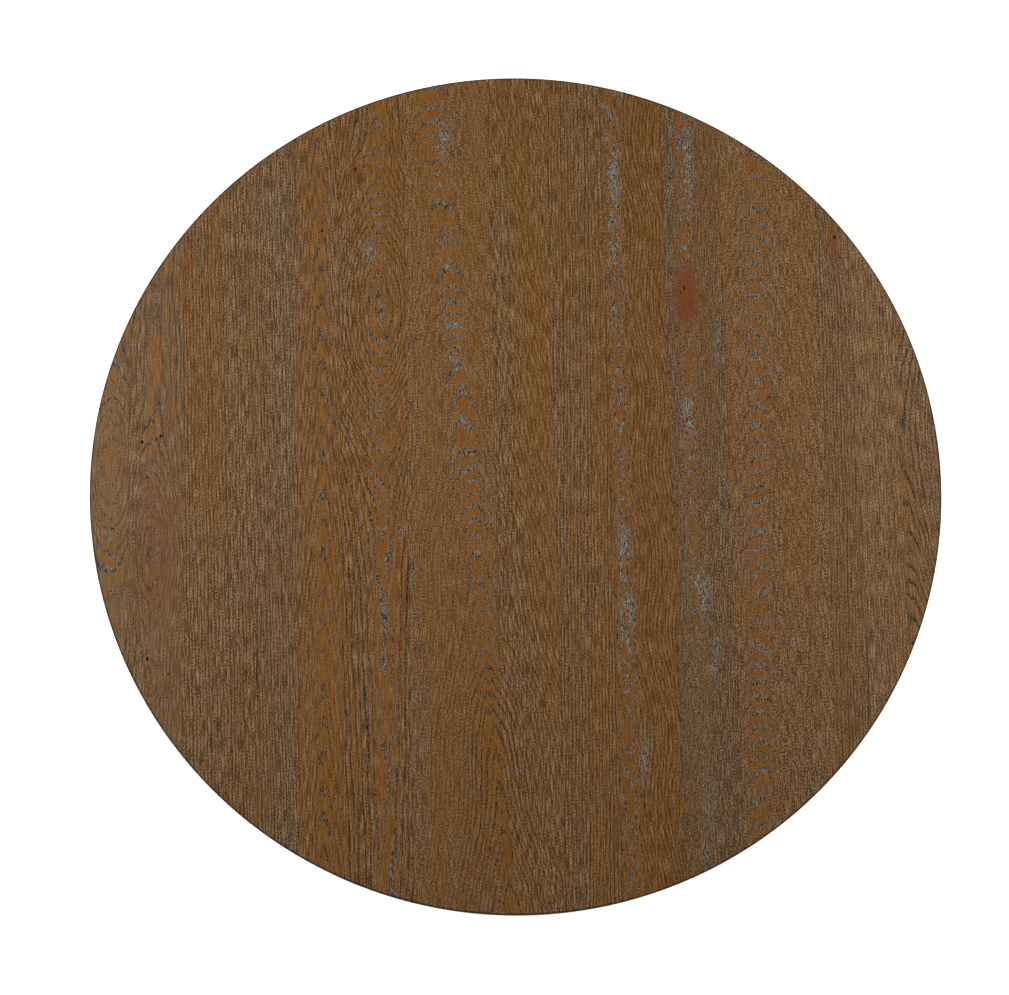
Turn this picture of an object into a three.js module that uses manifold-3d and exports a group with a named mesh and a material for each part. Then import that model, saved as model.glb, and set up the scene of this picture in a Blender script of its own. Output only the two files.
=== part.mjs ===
// Round dining table: a top of edge-glued oak boards on a turned pedestal with four sabre legs.
// Millimetres, +Z up. The origin is on the floor under the middle of the top, and the boards run along Y.
import * as THREE from 'three';
import { mergeVertices } from 'three/addons/utils/BufferGeometryUtils.js';
import Module from 'manifold-3d';

const wasm = await Module();
wasm.setup();

// ---------------------------------------------------------------- driving dimensions
const GAP = 0.3; // clearance between pieces that touch
const TABLE_HEIGHT = 762;

const TOP_DIAMETER = 1524;
const TOP_THICKNESS = 38;
const TOP_EDGE_ROUND = 4;
const PLANK_WIDTHS = [69, 98, 132, 72, 77, 120, 157, 107, 99, 110, 104, 171, 60, 76, 72]; // from -X to +X

const BATTEN_OFFSET = 450; // middle of the table to the middle of a batten
const BATTEN_WIDTH = 60;
const BATTEN_HEIGHT = 26;
const BATTEN_RIM_INSET = 90; // end of a batten to the rim
const BATTEN_SCREW_INSET = 105; // end of a batten to where its outer screw is wanted
const SLOT_TRAVEL = 5; // how far the boards may move past an outer screw, each way

const BEARER_WIDTH = 70;
const BEARER_HEIGHT = 60;
const BEARER_RIM_INSET = 242; // end of the bearer across the grain to the rim
const BEARER_BATTEN_CLEARANCE = 40; // end of the bearer along the grain to the batten
const BEARER_SCREW_INSET = 60; // end of a bearer to where its outer screw is wanted
const BEARER_SCREW_SPACING = 170;
const BEARER_SEAT = 34; // wood between a screw's head and the top
const END_DEPTH_SHARE = 0.45; // depth left at the tapered end of a bearer or batten
const END_TAPER = 70; // length of that taper

const DRUM_RADIUS = 78; // column where the legs join
const DRUM_RISE = 12; // drum above the legs' upper corners
const BEAD_RADIUS = 13;
const VASE_FOOT_RADIUS = 60;
const VASE_BELLY_RADIUS = 86;
const VASE_NECK_RADIUS = 50;
const VASE_BELLY_SHARE = 0.3; // height of the belly between the vase's foot and neck
const NECK_BEAD_RADIUS = 8;
const CAPITAL_RADIUS = 94;
const CAPITAL_HEIGHT = 22;
const CAPITAL_FLARE = 34;
const CAPITAL_LIP = 6; // flat ledge under the capital

const LEG_WIDTH = 64;
const LEG_JOINT_HEIGHT = 208; // height of a leg where it meets the drum
const LEG_EDGE_ROUND = 5;
const FOOT_HALF_LENGTH = 42;
const TOE_HEIGHT = 64;
const TOE_BULGE = 14; // how far the toe's end swells past the foot
const KNEE_SETBACK = 24; // level shoulder of a leg beside the drum
const ARCH_HANDLE = 120; // pull of the curve under a leg, at the plate
const HEEL_HANDLE = 85; // pull of that curve at the foot
const KNEE_HANDLE = 90; // pull of the curve over a leg, at the drum
const INSTEP_HANDLE = 110; // pull of that curve at the toe
const DOVETAIL_DEPTH = 18;
const DOVETAIL_NECK = 24;
const DOVETAIL_FLARE = 4; // extra half width at the bottom of the socket
const DOVETAIL_STOP = 32; // top of the tongue below the top of the leg

const SPIDER_THICKNESS = 4;
const SPIDER_BASE_Z = 118;
const SPIDER_REACH = 128;
const SPIDER_ARM_WIDTH = 42;
const SPIDER_SCREW_RADIUS = 106; // column axis to a leg screw
const SPIDER_SCREW_BITE = 28;

const ROD_RADIUS = 5;
const ROD_END = 3; // rod that stands out of each nut
const NUT_ACROSS_FLATS = 17;
const NUT_HEIGHT = 8;
const WASHER_RADIUS = 14;
const WASHER_THICKNESS = 2;
const ROD_RECESS_DEPTH = 16; // recess for the upper nut in the bearer
const ROD_RECESS_RADIUS = 18;

const SCREW_RADIUS = 2.5;
const SCREW_HEAD_RADIUS = 5;
const SCREW_HEAD_HEIGHT = 3.5;
const SCREW_BITE = 24; // depth of a screw in the top
const SCREW_TIP = 6;
const SCREW_SOCKET_ACROSS_FLATS = 4;
const SCREW_SOCKET_DEPTH = 1.8;
const HEAD_CLEARANCE = 1; // counterbore wider than the head

const GLIDE_RADIUS = 430; // column axis to a glide
const PIN_PLAY = 0.5; // between a stem's pin and its pad
const PAD_RADIUS = 20;
const PAD_HEIGHT = 8;
const PAD_SOCKET_DEPTH = 4;
const PAD_SHOULDER = 8; // width of the slope round a pad's top
const STEM_RADIUS = 4;
const STEM_LENGTH = 35; // thread above the hexagon
const STEM_HEX_ACROSS_FLATS = 14;
const STEM_HEX_HEIGHT = 5.5;
const INSERT_RADIUS = 6.5;
const INSERT_LENGTH = 25;
const INSERT_FLANGE_RADIUS = 10;
const INSERT_FLANGE_THICKNESS = 1.5;
const STEM_BORE_SPARE = 3; // bore above the stem's end

const CHAMFER = 1; // on rods, heads and pads
const TOP_SIDES = 80;
const COLUMN_SIDES = 24; // a multiple of eight, so that the legs' coped ends match the drum's facets
const HARDWARE_SIDES = 12;
const PAD_SIDES = 20;
const SCREW_SIDES = 8;
const OVERCUT = 5; // how far a cutter runs past a face

// ---------------------------------------------------------------- levels worked out from them
const topRadius = TOP_DIAMETER / 2;
const topBaseZ = TABLE_HEIGHT - TOP_THICKNESS;
const frameTopZ = topBaseZ - GAP; // upper face of the bearers and battens
const bearerBaseZ = frameTopZ - BEARER_HEIGHT;
const columnTopZ = bearerBaseZ - GAP;
const columnBaseZ = SPIDER_BASE_Z + SPIDER_THICKNESS + GAP;
const legTopZ = columnBaseZ + LEG_JOINT_HEIGHT;
const hexBaseZ = PAD_HEIGHT + GAP;
const hexTopZ = hexBaseZ + STEM_HEX_HEIGHT;
const footZ = hexTopZ + GAP;
const legAngles = [0, 1, 2, 3].map((quarter) => Math.PI / 4 + (quarter * Math.PI) / 2);

// ---------------------------------------------------------------- materials
const oak = { color: 0x6d5034, roughness: 0.62, metalness: 0 };
const turnedOak = { color: 0x62472e, roughness: 0.6, metalness: 0 };
const blackSteel = { color: 0x26262a, roughness: 0.5, metalness: 0.85 };
const zincSteel = { color: 0xb4b6b8, roughness: 0.36, metalness: 0.95 };
const brass = { color: 0xb3934f, roughness: 0.4, metalness: 0.9 };
const nylon = { color: 0x1c1c1e, roughness: 0.55, metalness: 0 };

// ---------------------------------------------------------------- solids
function signedVolume(position, index) {
  const [a, b, c] = [new THREE.Vector3(), new THREE.Vector3(), new THREE.Vector3()];
  let volume = 0;
  for (let i = 0; i < index.length; i += 3) {
    a.fromBufferAttribute(position, index[i]);
    b.fromBufferAttribute(position, index[i + 1]);
    c.fromBufferAttribute(position, index[i + 2]);
    volume += a.dot(b.cross(c)) / 6;
  }
  return volume;
}

// A closed geometry as a solid for cutting and joining, with its faces turned outwards.
function solid(geometry) {
  const bare = geometry.clone();
  bare.deleteAttribute('normal');
  bare.deleteAttribute('uv');
  const merged = mergeVertices(bare, 1e-4);
  const position = merged.getAttribute('position');
  const kept = [];
  for (let i = 0; i < merged.index.count; i += 3) {
    const [a, b, c] = [0, 1, 2].map((corner) => merged.index.getX(i + corner));
    if (a !== b && b !== c && c !== a) kept.push(a, b, c);
  }
  if (signedVolume(position, kept) < 0) kept.reverse();
  const mesh = { numProp: 3, vertProperties: position.array, triVerts: Uint32Array.from(kept) };
  return new wasm.Manifold(new wasm.Mesh(mesh));
}

function geometryOf(manifold) {
  const mesh = manifold.getMesh();
  const geometry = new THREE.BufferGeometry();
  geometry.setAttribute('position', new THREE.BufferAttribute(mesh.vertProperties, 3));
  geometry.setIndex(new THREE.BufferAttribute(mesh.triVerts, 1));
  geometry.computeVertexNormals();
  return geometry;
}

// Turns an outline of [radius, z] points about the Z axis.
function turned(outline, sides) {
  const points = outline.map(([radius, z]) => new THREE.Vector2(radius, z));
  return solid(new THREE.LatheGeometry(points, sides).rotateX(Math.PI / 2));
}

function rod(radius, z0, z1, sides) {
  return turned([[0, z0], [radius, z0], [radius, z1], [0, z1]], sides);
}

function rodAt(x, y, radius, z0, z1, sides = SCREW_SIDES) {
  return rod(radius, z0, z1, sides).translate([x, y, 0]);
}

function tube(inner, outer, z0, z1, sides) {
  return turned([[inner, z0], [outer, z0], [outer, z1], [inner, z1], [inner, z0]], sides);
}

function box(x0, x1, y0, y1, z0, z1) {
  const geometry = new THREE.BoxGeometry(x1 - x0, y1 - y0, z1 - z0);
  return solid(geometry.translate((x0 + x1) / 2, (y0 + y1) / 2, (z0 + z1) / 2));
}

// Extrudes a shape drawn in XY from z0 to z1.
function prism(shape, z0, z1, curveSegments = 1) {
  const geometry = new THREE.ExtrudeGeometry(shape, { depth: z1 - z0, bevelEnabled: false, curveSegments });
  return solid(geometry.translate(0, 0, z0));
}

function polygon(points) {
  return new THREE.Shape(points.map(([x, y]) => new THREE.Vector2(x, y)));
}

function hexagon(acrossFlats) {
  const radius = acrossFlats / Math.sqrt(3);
  const corners = [0, 1, 2, 3, 4, 5].map((corner) => (corner * Math.PI) / 3);
  return polygon(corners.map((angle) => [radius * Math.cos(angle), radius * Math.sin(angle)]));
}

// A cutter for a round hole, or for a slot along X with round ends.
function slotCutter(halfTravel, radius, z0, z1) {
  if (halfTravel === 0) return rod(radius, z0, z1, SCREW_SIDES);
  const shape = new THREE.Shape();
  shape.absarc(halfTravel, 0, radius, -Math.PI / 2, Math.PI / 2);
  shape.absarc(-halfTravel, 0, radius, Math.PI / 2, (3 * Math.PI) / 2);
  return prism(shape, z0, z1, SCREW_SIDES / 2);
}

function arcPoints(centreR, centreZ, radius, fromDegrees, toDegrees, steps) {
  const points = [];
  for (let i = 0; i <= steps; i += 1) {
    const angle = THREE.MathUtils.degToRad(fromDegrees + ((toDegrees - fromDegrees) * i) / steps);
    points.push([centreR + radius * Math.cos(angle), centreZ + radius * Math.sin(angle)]);
  }
  return points;
}

// Points on a smooth curve that leaves one [radius, z] place and reaches another with vertical tangents.
function swell([r0, z0], [r1, z1], steps) {
  const points = [];
  for (let i = 1; i <= steps; i += 1) {
    const share = i / steps;
    const eased = share * share * (3 - 2 * share);
    points.push([r0 + (r1 - r0) * eased, z0 + (z1 - z0) * share]);
  }
  return points;
}

function addMesh(parent, name, manifold, finish) {
  const mesh = new THREE.Mesh(geometryOf(manifold), new THREE.MeshStandardMaterial(finish));
  mesh.name = name;
  parent.add(mesh);
}

const numbered = (name, i) => `${name}_${i + 1}`;

// ---------------------------------------------------------------- planks and screw places
const widthSum = PLANK_WIDTHS.reduce((sum, width) => sum + width, 0);
const planks = [];
for (const width of PLANK_WIDTHS) {
  const x0 = planks.length ? planks[planks.length - 1].x1 : -topRadius;
  planks.push({ x0, x1: x0 + (width * TOP_DIAMETER) / widthSum });
}

// The middle of the plank nearest to x, so that no screw runs into a glue line.
function plankMiddle(x) {
  const middles = planks.map((plank) => (plank.x0 + plank.x1) / 2);
  return middles.reduce((best, middle) => (Math.abs(middle - x) < Math.abs(best - x) ? middle : best));
}

const battenOuterY = BATTEN_OFFSET + BATTEN_WIDTH / 2;
const battenHalf = Math.sqrt(topRadius ** 2 - battenOuterY ** 2) - BATTEN_RIM_INSET;
const acrossHalf = topRadius - BEARER_RIM_INSET;
const alongHalf = BATTEN_OFFSET - BATTEN_WIDTH / 2 - BEARER_BATTEN_CLEARANCE;

const battenScrewReach = battenHalf - BATTEN_SCREW_INSET;
const battenScrewXs = [-battenScrewReach, 0, battenScrewReach].map(plankMiddle);
const bearerScrewReaches = (half) => {
  const outer = half - BEARER_SCREW_INSET;
  return [-outer, BEARER_SCREW_SPACING - outer, outer - BEARER_SCREW_SPACING, outer];
};
const acrossScrewXs = bearerScrewReaches(acrossHalf).map(plankMiddle);
const alongScrewYs = bearerScrewReaches(alongHalf);

const battenSeatZ = frameTopZ - BATTEN_HEIGHT + SCREW_HEAD_HEIGHT + HEAD_CLEARANCE;
const bearerSeatZ = frameTopZ - BEARER_SEAT;
const topScrews = [];
for (const [side, y] of [['front', -BATTEN_OFFSET], ['back', BATTEN_OFFSET]]) {
  battenScrewXs.forEach((x, i) => {
    const name = numbered(`batten_${side}_screw`, i);
    topScrews.push({ name, x, y, seatZ: battenSeatZ, holder: side, travel: i === 1 ? 0 : SLOT_TRAVEL });
  });
}
acrossScrewXs.forEach((x, i) => {
  const name = numbered('bearer_across_screw', i);
  topScrews.push({ name, x, y: 0, seatZ: bearerSeatZ, holder: 'across', travel: i % 3 ? 0 : SLOT_TRAVEL });
});
alongScrewYs.forEach((y, i) => {
  const name = numbered('bearer_along_screw', i);
  topScrews.push({ name, x: 0, y, seatZ: bearerSeatZ, holder: 'along', travel: 0 });
});

// ---------------------------------------------------------------- the top
function topDisc() {
  const round = TOP_EDGE_ROUND;
  const lowRound = arcPoints(topRadius - round, topBaseZ + round, round, -90, 0, 1);
  const highRound = arcPoints(topRadius - round, TABLE_HEIGHT - round, round, 0, 90, 2);
  return turned([[0, topBaseZ], ...lowRound, ...highRound, [0, TABLE_HEIGHT]], TOP_SIDES);
}

function addPlanks(parent) {
  const disc = topDisc();
  planks.forEach(({ x0, x1 }, i) => {
    const left = i === 0 ? x0 - OVERCUT : x0 + GAP / 2;
    const right = i === planks.length - 1 ? x1 + OVERCUT : x1 - GAP / 2;
    const reach = topRadius + OVERCUT;
    let plank = disc.intersect(box(left, right, -reach, reach, topBaseZ - OVERCUT, TABLE_HEIGHT + OVERCUT));
    for (const { x, y } of topScrews.filter((screw) => screw.x > x0 && screw.x < x1)) {
      const holeTop = topBaseZ + SCREW_BITE + HEAD_CLEARANCE;
      plank = plank.subtract(rodAt(x, y, SCREW_RADIUS + GAP, topBaseZ - OVERCUT, holeTop));
    }
    addMesh(parent, `top_plank_${String(i + 1).padStart(2, '0')}`, plank, oak);
  });
}

// A screw that points up, with a hexagon socket in its head. Its head bears up on seatZ.
function screw(x, y, seatZ, length) {
  const headTop = seatZ - GAP;
  const headBase = headTop - SCREW_HEAD_HEIGHT;
  const tip = headTop + length;
  const outline = [
    [0, headBase],
    [SCREW_HEAD_RADIUS - CHAMFER, headBase],
    [SCREW_HEAD_RADIUS, headBase + CHAMFER],
    [SCREW_HEAD_RADIUS, headTop],
    [SCREW_RADIUS, headTop],
    [SCREW_RADIUS, tip - SCREW_TIP],
    [0, tip],
  ];
  const socket = prism(hexagon(SCREW_SOCKET_ACROSS_FLATS), headBase - OVERCUT, headBase + SCREW_SOCKET_DEPTH);
  return turned(outline, SCREW_SIDES).subtract(socket).translate([x, y, 0]);
}

function addTopScrews(parent) {
  for (const { name, x, y, seatZ } of topScrews) {
    addMesh(parent, name, screw(x, y, seatZ, topBaseZ - seatZ + SCREW_BITE), zincSteel);
  }
}

// ---------------------------------------------------------------- battens and bearers
// A rail along X from -half to half, with its lower corners tapered.
function rail(half, width, height) {
  const baseZ = frameTopZ - height;
  const endZ = frameTopZ - height * END_DEPTH_SHARE;
  const outline = [
    [-half, frameTopZ],
    [-half, endZ],
    [-half + END_TAPER, baseZ],
    [half - END_TAPER, baseZ],
    [half, endZ],
    [half, frameTopZ],
  ];
  const length = prism(polygon(outline), -width / 2, width / 2);
  return length.rotate([90, 0, 0]);
}

function cutScrewHoles(piece, holder) {
  let cut = piece;
  for (const { x, y, seatZ, travel } of topScrews.filter((item) => item.holder === holder)) {
    const shank = slotCutter(travel, SCREW_RADIUS + GAP, seatZ - OVERCUT, frameTopZ + OVERCUT);
    const head = slotCutter(travel, SCREW_HEAD_RADIUS + HEAD_CLEARANCE, bearerBaseZ - OVERCUT, seatZ);
    cut = cut.subtract(shank.translate([x, y, 0])).subtract(head.translate([x, y, 0]));
  }
  return cut;
}

function addBattens(parent) {
  for (const [side, y] of [['front', -BATTEN_OFFSET], ['back', BATTEN_OFFSET]]) {
    const batten = rail(battenHalf, BATTEN_WIDTH, BATTEN_HEIGHT).translate([0, y, 0]);
    addMesh(parent, `batten_${side}`, cutScrewHoles(batten, side), oak);
  }
}

// The two bearers are half-lapped in the middle: one keeps its lower half there, the other its upper half.
function addBearers(parent) {
  const lapZ = bearerBaseZ + BEARER_HEIGHT / 2;
  const notch = BEARER_WIDTH / 2 + GAP;
  const rodHole = rod(ROD_RADIUS + GAP, bearerBaseZ - OVERCUT, frameTopZ + OVERCUT, HARDWARE_SIDES);
  const recess = rod(ROD_RECESS_RADIUS, frameTopZ - ROD_RECESS_DEPTH, frameTopZ + OVERCUT, HARDWARE_SIDES);

  const upperNotch = box(-notch, notch, -notch, notch, lapZ - GAP / 2, frameTopZ + OVERCUT);
  const across = rail(acrossHalf, BEARER_WIDTH, BEARER_HEIGHT).subtract(upperNotch).subtract(rodHole);
  addMesh(parent, 'bearer_across', cutScrewHoles(across, 'across'), oak);

  const lowerNotch = box(-notch, notch, -notch, notch, bearerBaseZ - OVERCUT, lapZ + GAP / 2);
  const alongRail = rail(alongHalf, BEARER_WIDTH, BEARER_HEIGHT).rotate([0, 0, 90]);
  const along = alongRail.subtract(lowerNotch).subtract(rodHole).subtract(recess);
  addMesh(parent, 'bearer_along', cutScrewHoles(along, 'along'), oak);
}

// ---------------------------------------------------------------- column
// The dovetail in plan, pointing along +X: narrow at the drum's face, wide at its bottom.
function dovetail(clearance, outerR) {
  const innerR = DRUM_RADIUS - DOVETAIL_DEPTH - clearance;
  const slope = DOVETAIL_FLARE / DOVETAIL_DEPTH;
  const halfAt = (radius) => DOVETAIL_NECK / 2 + (DRUM_RADIUS - radius) * slope + clearance;
  return polygon([
    [innerR, -halfAt(innerR)],
    [outerR, -halfAt(outerR)],
    [outerR, halfAt(outerR)],
    [innerR, halfAt(innerR)],
  ]);
}

function columnOutline() {
  const drumTop = legTopZ + DRUM_RISE;
  const beadTop = drumTop + 2 * BEAD_RADIUS;
  const vaseBase = beadTop + BEAD_RADIUS;
  const capitalBase = columnTopZ - CAPITAL_HEIGHT;
  const neckBeadTop = capitalBase - CAPITAL_FLARE;
  const neck = neckBeadTop - 2 * NECK_BEAD_RADIUS;
  const belly = vaseBase + (neck - vaseBase) * VASE_BELLY_SHARE;
  const bore = ROD_RADIUS + GAP;
  return [
    [bore, columnBaseZ],
    [DRUM_RADIUS, columnBaseZ],
    [DRUM_RADIUS, drumTop],
    ...arcPoints(DRUM_RADIUS, drumTop + BEAD_RADIUS, BEAD_RADIUS, -90, 90, 5),
    [VASE_FOOT_RADIUS, vaseBase],
    ...swell([VASE_FOOT_RADIUS, vaseBase], [VASE_BELLY_RADIUS, belly], 4),
    ...swell([VASE_BELLY_RADIUS, belly], [VASE_NECK_RADIUS, neck], 6),
    ...arcPoints(VASE_NECK_RADIUS, neck + NECK_BEAD_RADIUS, NECK_BEAD_RADIUS, -90, 90, 4),
    ...arcPoints(CAPITAL_RADIUS - CAPITAL_LIP, neckBeadTop, CAPITAL_FLARE, 180, 90, 4),
    [CAPITAL_RADIUS, capitalBase],
    [CAPITAL_RADIUS, columnTopZ],
    [bore, columnTopZ],
    [bore, columnBaseZ],
  ];
}

function addColumn(parent) {
  let column = turned(columnOutline(), COLUMN_SIDES);
  const socketTop = legTopZ - DOVETAIL_STOP + GAP;
  for (const angle of legAngles) {
    const socket = prism(dovetail(GAP, DRUM_RADIUS + OVERCUT), columnBaseZ - OVERCUT, socketTop);
    column = column.subtract(socket.rotate([0, 0, THREE.MathUtils.radToDeg(angle)]));
  }
  addMesh(parent, 'column', column, turnedOak);
}

// ---------------------------------------------------------------- legs, each drawn along +X of its own group
function legProfile() {
  const innerR = DRUM_RADIUS / 2;
  const flatEnd = SPIDER_REACH + OVERCUT;
  const heelR = GLIDE_RADIUS - FOOT_HALF_LENGTH;
  const toeR = GLIDE_RADIUS + FOOT_HALF_LENGTH;
  const kneeR = DRUM_RADIUS + KNEE_SETBACK;
  const toeTopZ = footZ + TOE_HEIGHT;
  const shape = new THREE.Shape();
  shape.moveTo(innerR, columnBaseZ);
  shape.lineTo(flatEnd, columnBaseZ);
  const heelPull = [heelR - HEEL_HANDLE, footZ + HEEL_HANDLE / 5];
  shape.bezierCurveTo(flatEnd + ARCH_HANDLE, columnBaseZ, ...heelPull, heelR, footZ);
  shape.lineTo(toeR, footZ);
  shape.quadraticCurveTo(toeR + TOE_BULGE, footZ + TOE_HEIGHT / 2, toeR, toeTopZ - TOE_BULGE / 2);
  shape.quadraticCurveTo(toeR - TOE_BULGE / 2, toeTopZ, toeR - TOE_BULGE, toeTopZ);
  const kneePull = [kneeR + KNEE_HANDLE, legTopZ - KNEE_HANDLE];
  shape.bezierCurveTo(toeR - INSTEP_HANDLE, toeTopZ, ...kneePull, kneeR, legTopZ);
  shape.lineTo(innerR, legTopZ);
  shape.closePath();
  return shape;
}

function leg() {
  const settings = {
    depth: LEG_WIDTH - 2 * LEG_EDGE_ROUND,
    bevelThickness: LEG_EDGE_ROUND,
    bevelSize: LEG_EDGE_ROUND,
    bevelOffset: -LEG_EDGE_ROUND,
    bevelSegments: 1,
    curveSegments: 8,
  };
  const blank = new THREE.ExtrudeGeometry(legProfile(), settings);
  blank.translate(0, 0, LEG_EDGE_ROUND - LEG_WIDTH / 2).rotateX(Math.PI / 2);
  const cope = rod(DRUM_RADIUS + GAP, columnBaseZ - OVERCUT, legTopZ + OVERCUT, COLUMN_SIDES);
  const tongue = prism(dovetail(0, DRUM_RADIUS + OVERCUT), columnBaseZ, legTopZ - DOVETAIL_STOP);
  const below = footZ - OVERCUT;
  const flangeTop = footZ + INSERT_FLANGE_THICKNESS + GAP;
  const flange = rod(INSERT_FLANGE_RADIUS + GAP, below, flangeTop, HARDWARE_SIDES);
  const socket = rod(INSERT_RADIUS + GAP, below, footZ + INSERT_LENGTH + GAP, HARDWARE_SIDES);
  const bore = rod(STEM_RADIUS + GAP, below, hexTopZ + STEM_LENGTH + STEM_BORE_SPARE, HARDWARE_SIDES);
  const glideHole = flange.add(socket).add(bore).translate([GLIDE_RADIUS, 0, 0]);
  const pilotTop = columnBaseZ + SPIDER_SCREW_BITE + HEAD_CLEARANCE;
  const pilot = rodAt(SPIDER_SCREW_RADIUS, 0, SCREW_RADIUS + GAP, columnBaseZ - OVERCUT, pilotTop);
  return solid(blank).subtract(cope).add(tongue).subtract(glideHole).subtract(pilot);
}

function insert() {
  const bore = STEM_RADIUS + GAP;
  const outline = [
    [bore, footZ],
    [INSERT_FLANGE_RADIUS, footZ],
    [INSERT_FLANGE_RADIUS, footZ + INSERT_FLANGE_THICKNESS],
    [INSERT_RADIUS, footZ + INSERT_FLANGE_THICKNESS],
    [INSERT_RADIUS, footZ + INSERT_LENGTH],
    [bore, footZ + INSERT_LENGTH],
    [bore, footZ],
  ];
  return turned(outline, HARDWARE_SIDES);
}

function stem() {
  const hex = prism(hexagon(STEM_HEX_ACROSS_FLATS), hexBaseZ, hexTopZ);
  const pinBase = PAD_HEIGHT - PAD_SOCKET_DEPTH + GAP;
  const outline = [
    [0, pinBase],
    [STEM_RADIUS - CHAMFER, pinBase],
    [STEM_RADIUS, pinBase + CHAMFER],
    [STEM_RADIUS, hexTopZ + STEM_LENGTH - CHAMFER],
    [STEM_RADIUS - CHAMFER, hexTopZ + STEM_LENGTH],
    [0, hexTopZ + STEM_LENGTH],
  ];
  return turned(outline, HARDWARE_SIDES).add(hex);
}

function pad() {
  const socketR = STEM_RADIUS + PIN_PLAY;
  const outline = [
    [0, 0],
    [PAD_RADIUS - CHAMFER, 0],
    [PAD_RADIUS, CHAMFER],
    [PAD_RADIUS, PAD_HEIGHT / 2],
    [PAD_RADIUS - PAD_SHOULDER, PAD_HEIGHT],
    [socketR, PAD_HEIGHT],
    [socketR, PAD_HEIGHT - PAD_SOCKET_DEPTH],
    [0, PAD_HEIGHT - PAD_SOCKET_DEPTH],
  ];
  return turned(outline, PAD_SIDES);
}

function addLegs(parent) {
  legAngles.forEach((angle, i) => {
    const corner = new THREE.Group();
    corner.rotation.z = angle;
    addMesh(corner, numbered('leg', i), leg(), oak);
    const spiderScrewLength = SPIDER_THICKNESS + GAP + SPIDER_SCREW_BITE;
    const spiderScrew = screw(SPIDER_SCREW_RADIUS, 0, SPIDER_BASE_Z, spiderScrewLength);
    addMesh(corner, numbered('spider_screw', i), spiderScrew, zincSteel);
    const glide = new THREE.Group();
    glide.position.x = GLIDE_RADIUS;
    addMesh(glide, numbered('glide_insert', i), insert(), brass);
    addMesh(glide, numbered('glide_stem', i), stem(), zincSteel);
    addMesh(glide, numbered('glide_pad', i), pad(), nylon);
    corner.add(glide);
    parent.add(corner);
  });
}

// ---------------------------------------------------------------- spider plate and tie rod
function addSpiderPlate(parent) {
  const half = SPIDER_ARM_WIDTH / 2;
  const armEnd = SPIDER_REACH - half;
  const shape = new THREE.Shape();
  legAngles.forEach((angle, i) => {
    const along = new THREE.Vector2(Math.cos(angle), Math.sin(angle));
    const aside = new THREE.Vector2(-along.y, along.x);
    const root = along.clone().multiplyScalar(half).addScaledVector(aside, -half);
    if (i === 0) shape.moveTo(root.x, root.y);
    else shape.lineTo(root.x, root.y);
    shape.absarc(along.x * armEnd, along.y * armEnd, half, angle - Math.PI / 2, angle + Math.PI / 2);
  });
  shape.closePath();
  let plate = prism(shape, SPIDER_BASE_Z, SPIDER_BASE_Z + SPIDER_THICKNESS, 6);
  const [low, high] = [SPIDER_BASE_Z - OVERCUT, SPIDER_BASE_Z + SPIDER_THICKNESS + OVERCUT];
  plate = plate.subtract(rod(ROD_RADIUS + GAP, low, high, HARDWARE_SIDES));
  for (const angle of legAngles) {
    const [x, y] = [SPIDER_SCREW_RADIUS * Math.cos(angle), SPIDER_SCREW_RADIUS * Math.sin(angle)];
    plate = plate.subtract(rodAt(x, y, SCREW_RADIUS + GAP, low, high));
  }
  addMesh(parent, 'spider_plate', plate, blackSteel);
}

function nut(z0) {
  const hole = rod(ROD_RADIUS + GAP, z0 - OVERCUT, z0 + NUT_HEIGHT + OVERCUT, HARDWARE_SIDES);
  return prism(hexagon(NUT_ACROSS_FLATS), z0, z0 + NUT_HEIGHT).subtract(hole);
}

function addTieRod(parent) {
  const upperWasherZ = frameTopZ - ROD_RECESS_DEPTH + GAP;
  const upperNutZ = upperWasherZ + WASHER_THICKNESS + GAP;
  const lowerWasherZ = SPIDER_BASE_Z - GAP - WASHER_THICKNESS;
  const lowerNutZ = lowerWasherZ - GAP - NUT_HEIGHT;
  const [z0, z1] = [lowerNutZ - ROD_END, upperNutZ + NUT_HEIGHT + ROD_END];
  const outline = [
    [0, z0],
    [ROD_RADIUS - CHAMFER, z0],
    [ROD_RADIUS, z0 + CHAMFER],
    [ROD_RADIUS, z1 - CHAMFER],
    [ROD_RADIUS - CHAMFER, z1],
    [0, z1],
  ];
  addMesh(parent, 'tie_rod', turned(outline, HARDWARE_SIDES), zincSteel);
  const ends = [['upper', upperWasherZ, upperNutZ], ['lower', lowerWasherZ, lowerNutZ]];
  for (const [place, washerZ, nutZ] of ends) {
    const washer = tube(ROD_RADIUS + GAP, WASHER_RADIUS, washerZ, washerZ + WASHER_THICKNESS, HARDWARE_SIDES);
    addMesh(parent, `tie_washer_${place}`, washer, zincSteel);
    addMesh(parent, `tie_nut_${place}`, nut(nutZ), zincSteel);
  }
}

// ---------------------------------------------------------------- assembly
const table = new THREE.Group();
addPlanks(table);
addBattens(table);
addBearers(table);
addTopScrews(table);
addColumn(table);
addLegs(table);
addSpiderPlate(table);
addTieRod(table);

export default table;
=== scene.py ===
"""Looks of the round pedestal table: smoked, brushed and limed oak on a turned base, with steel screws.

Every piece is made in metres, in the CAD model's frame, and stands for the CAD node of the same name.
"""
import math

import bmesh
import bpy
from mathutils import Matrix, Vector


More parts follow.
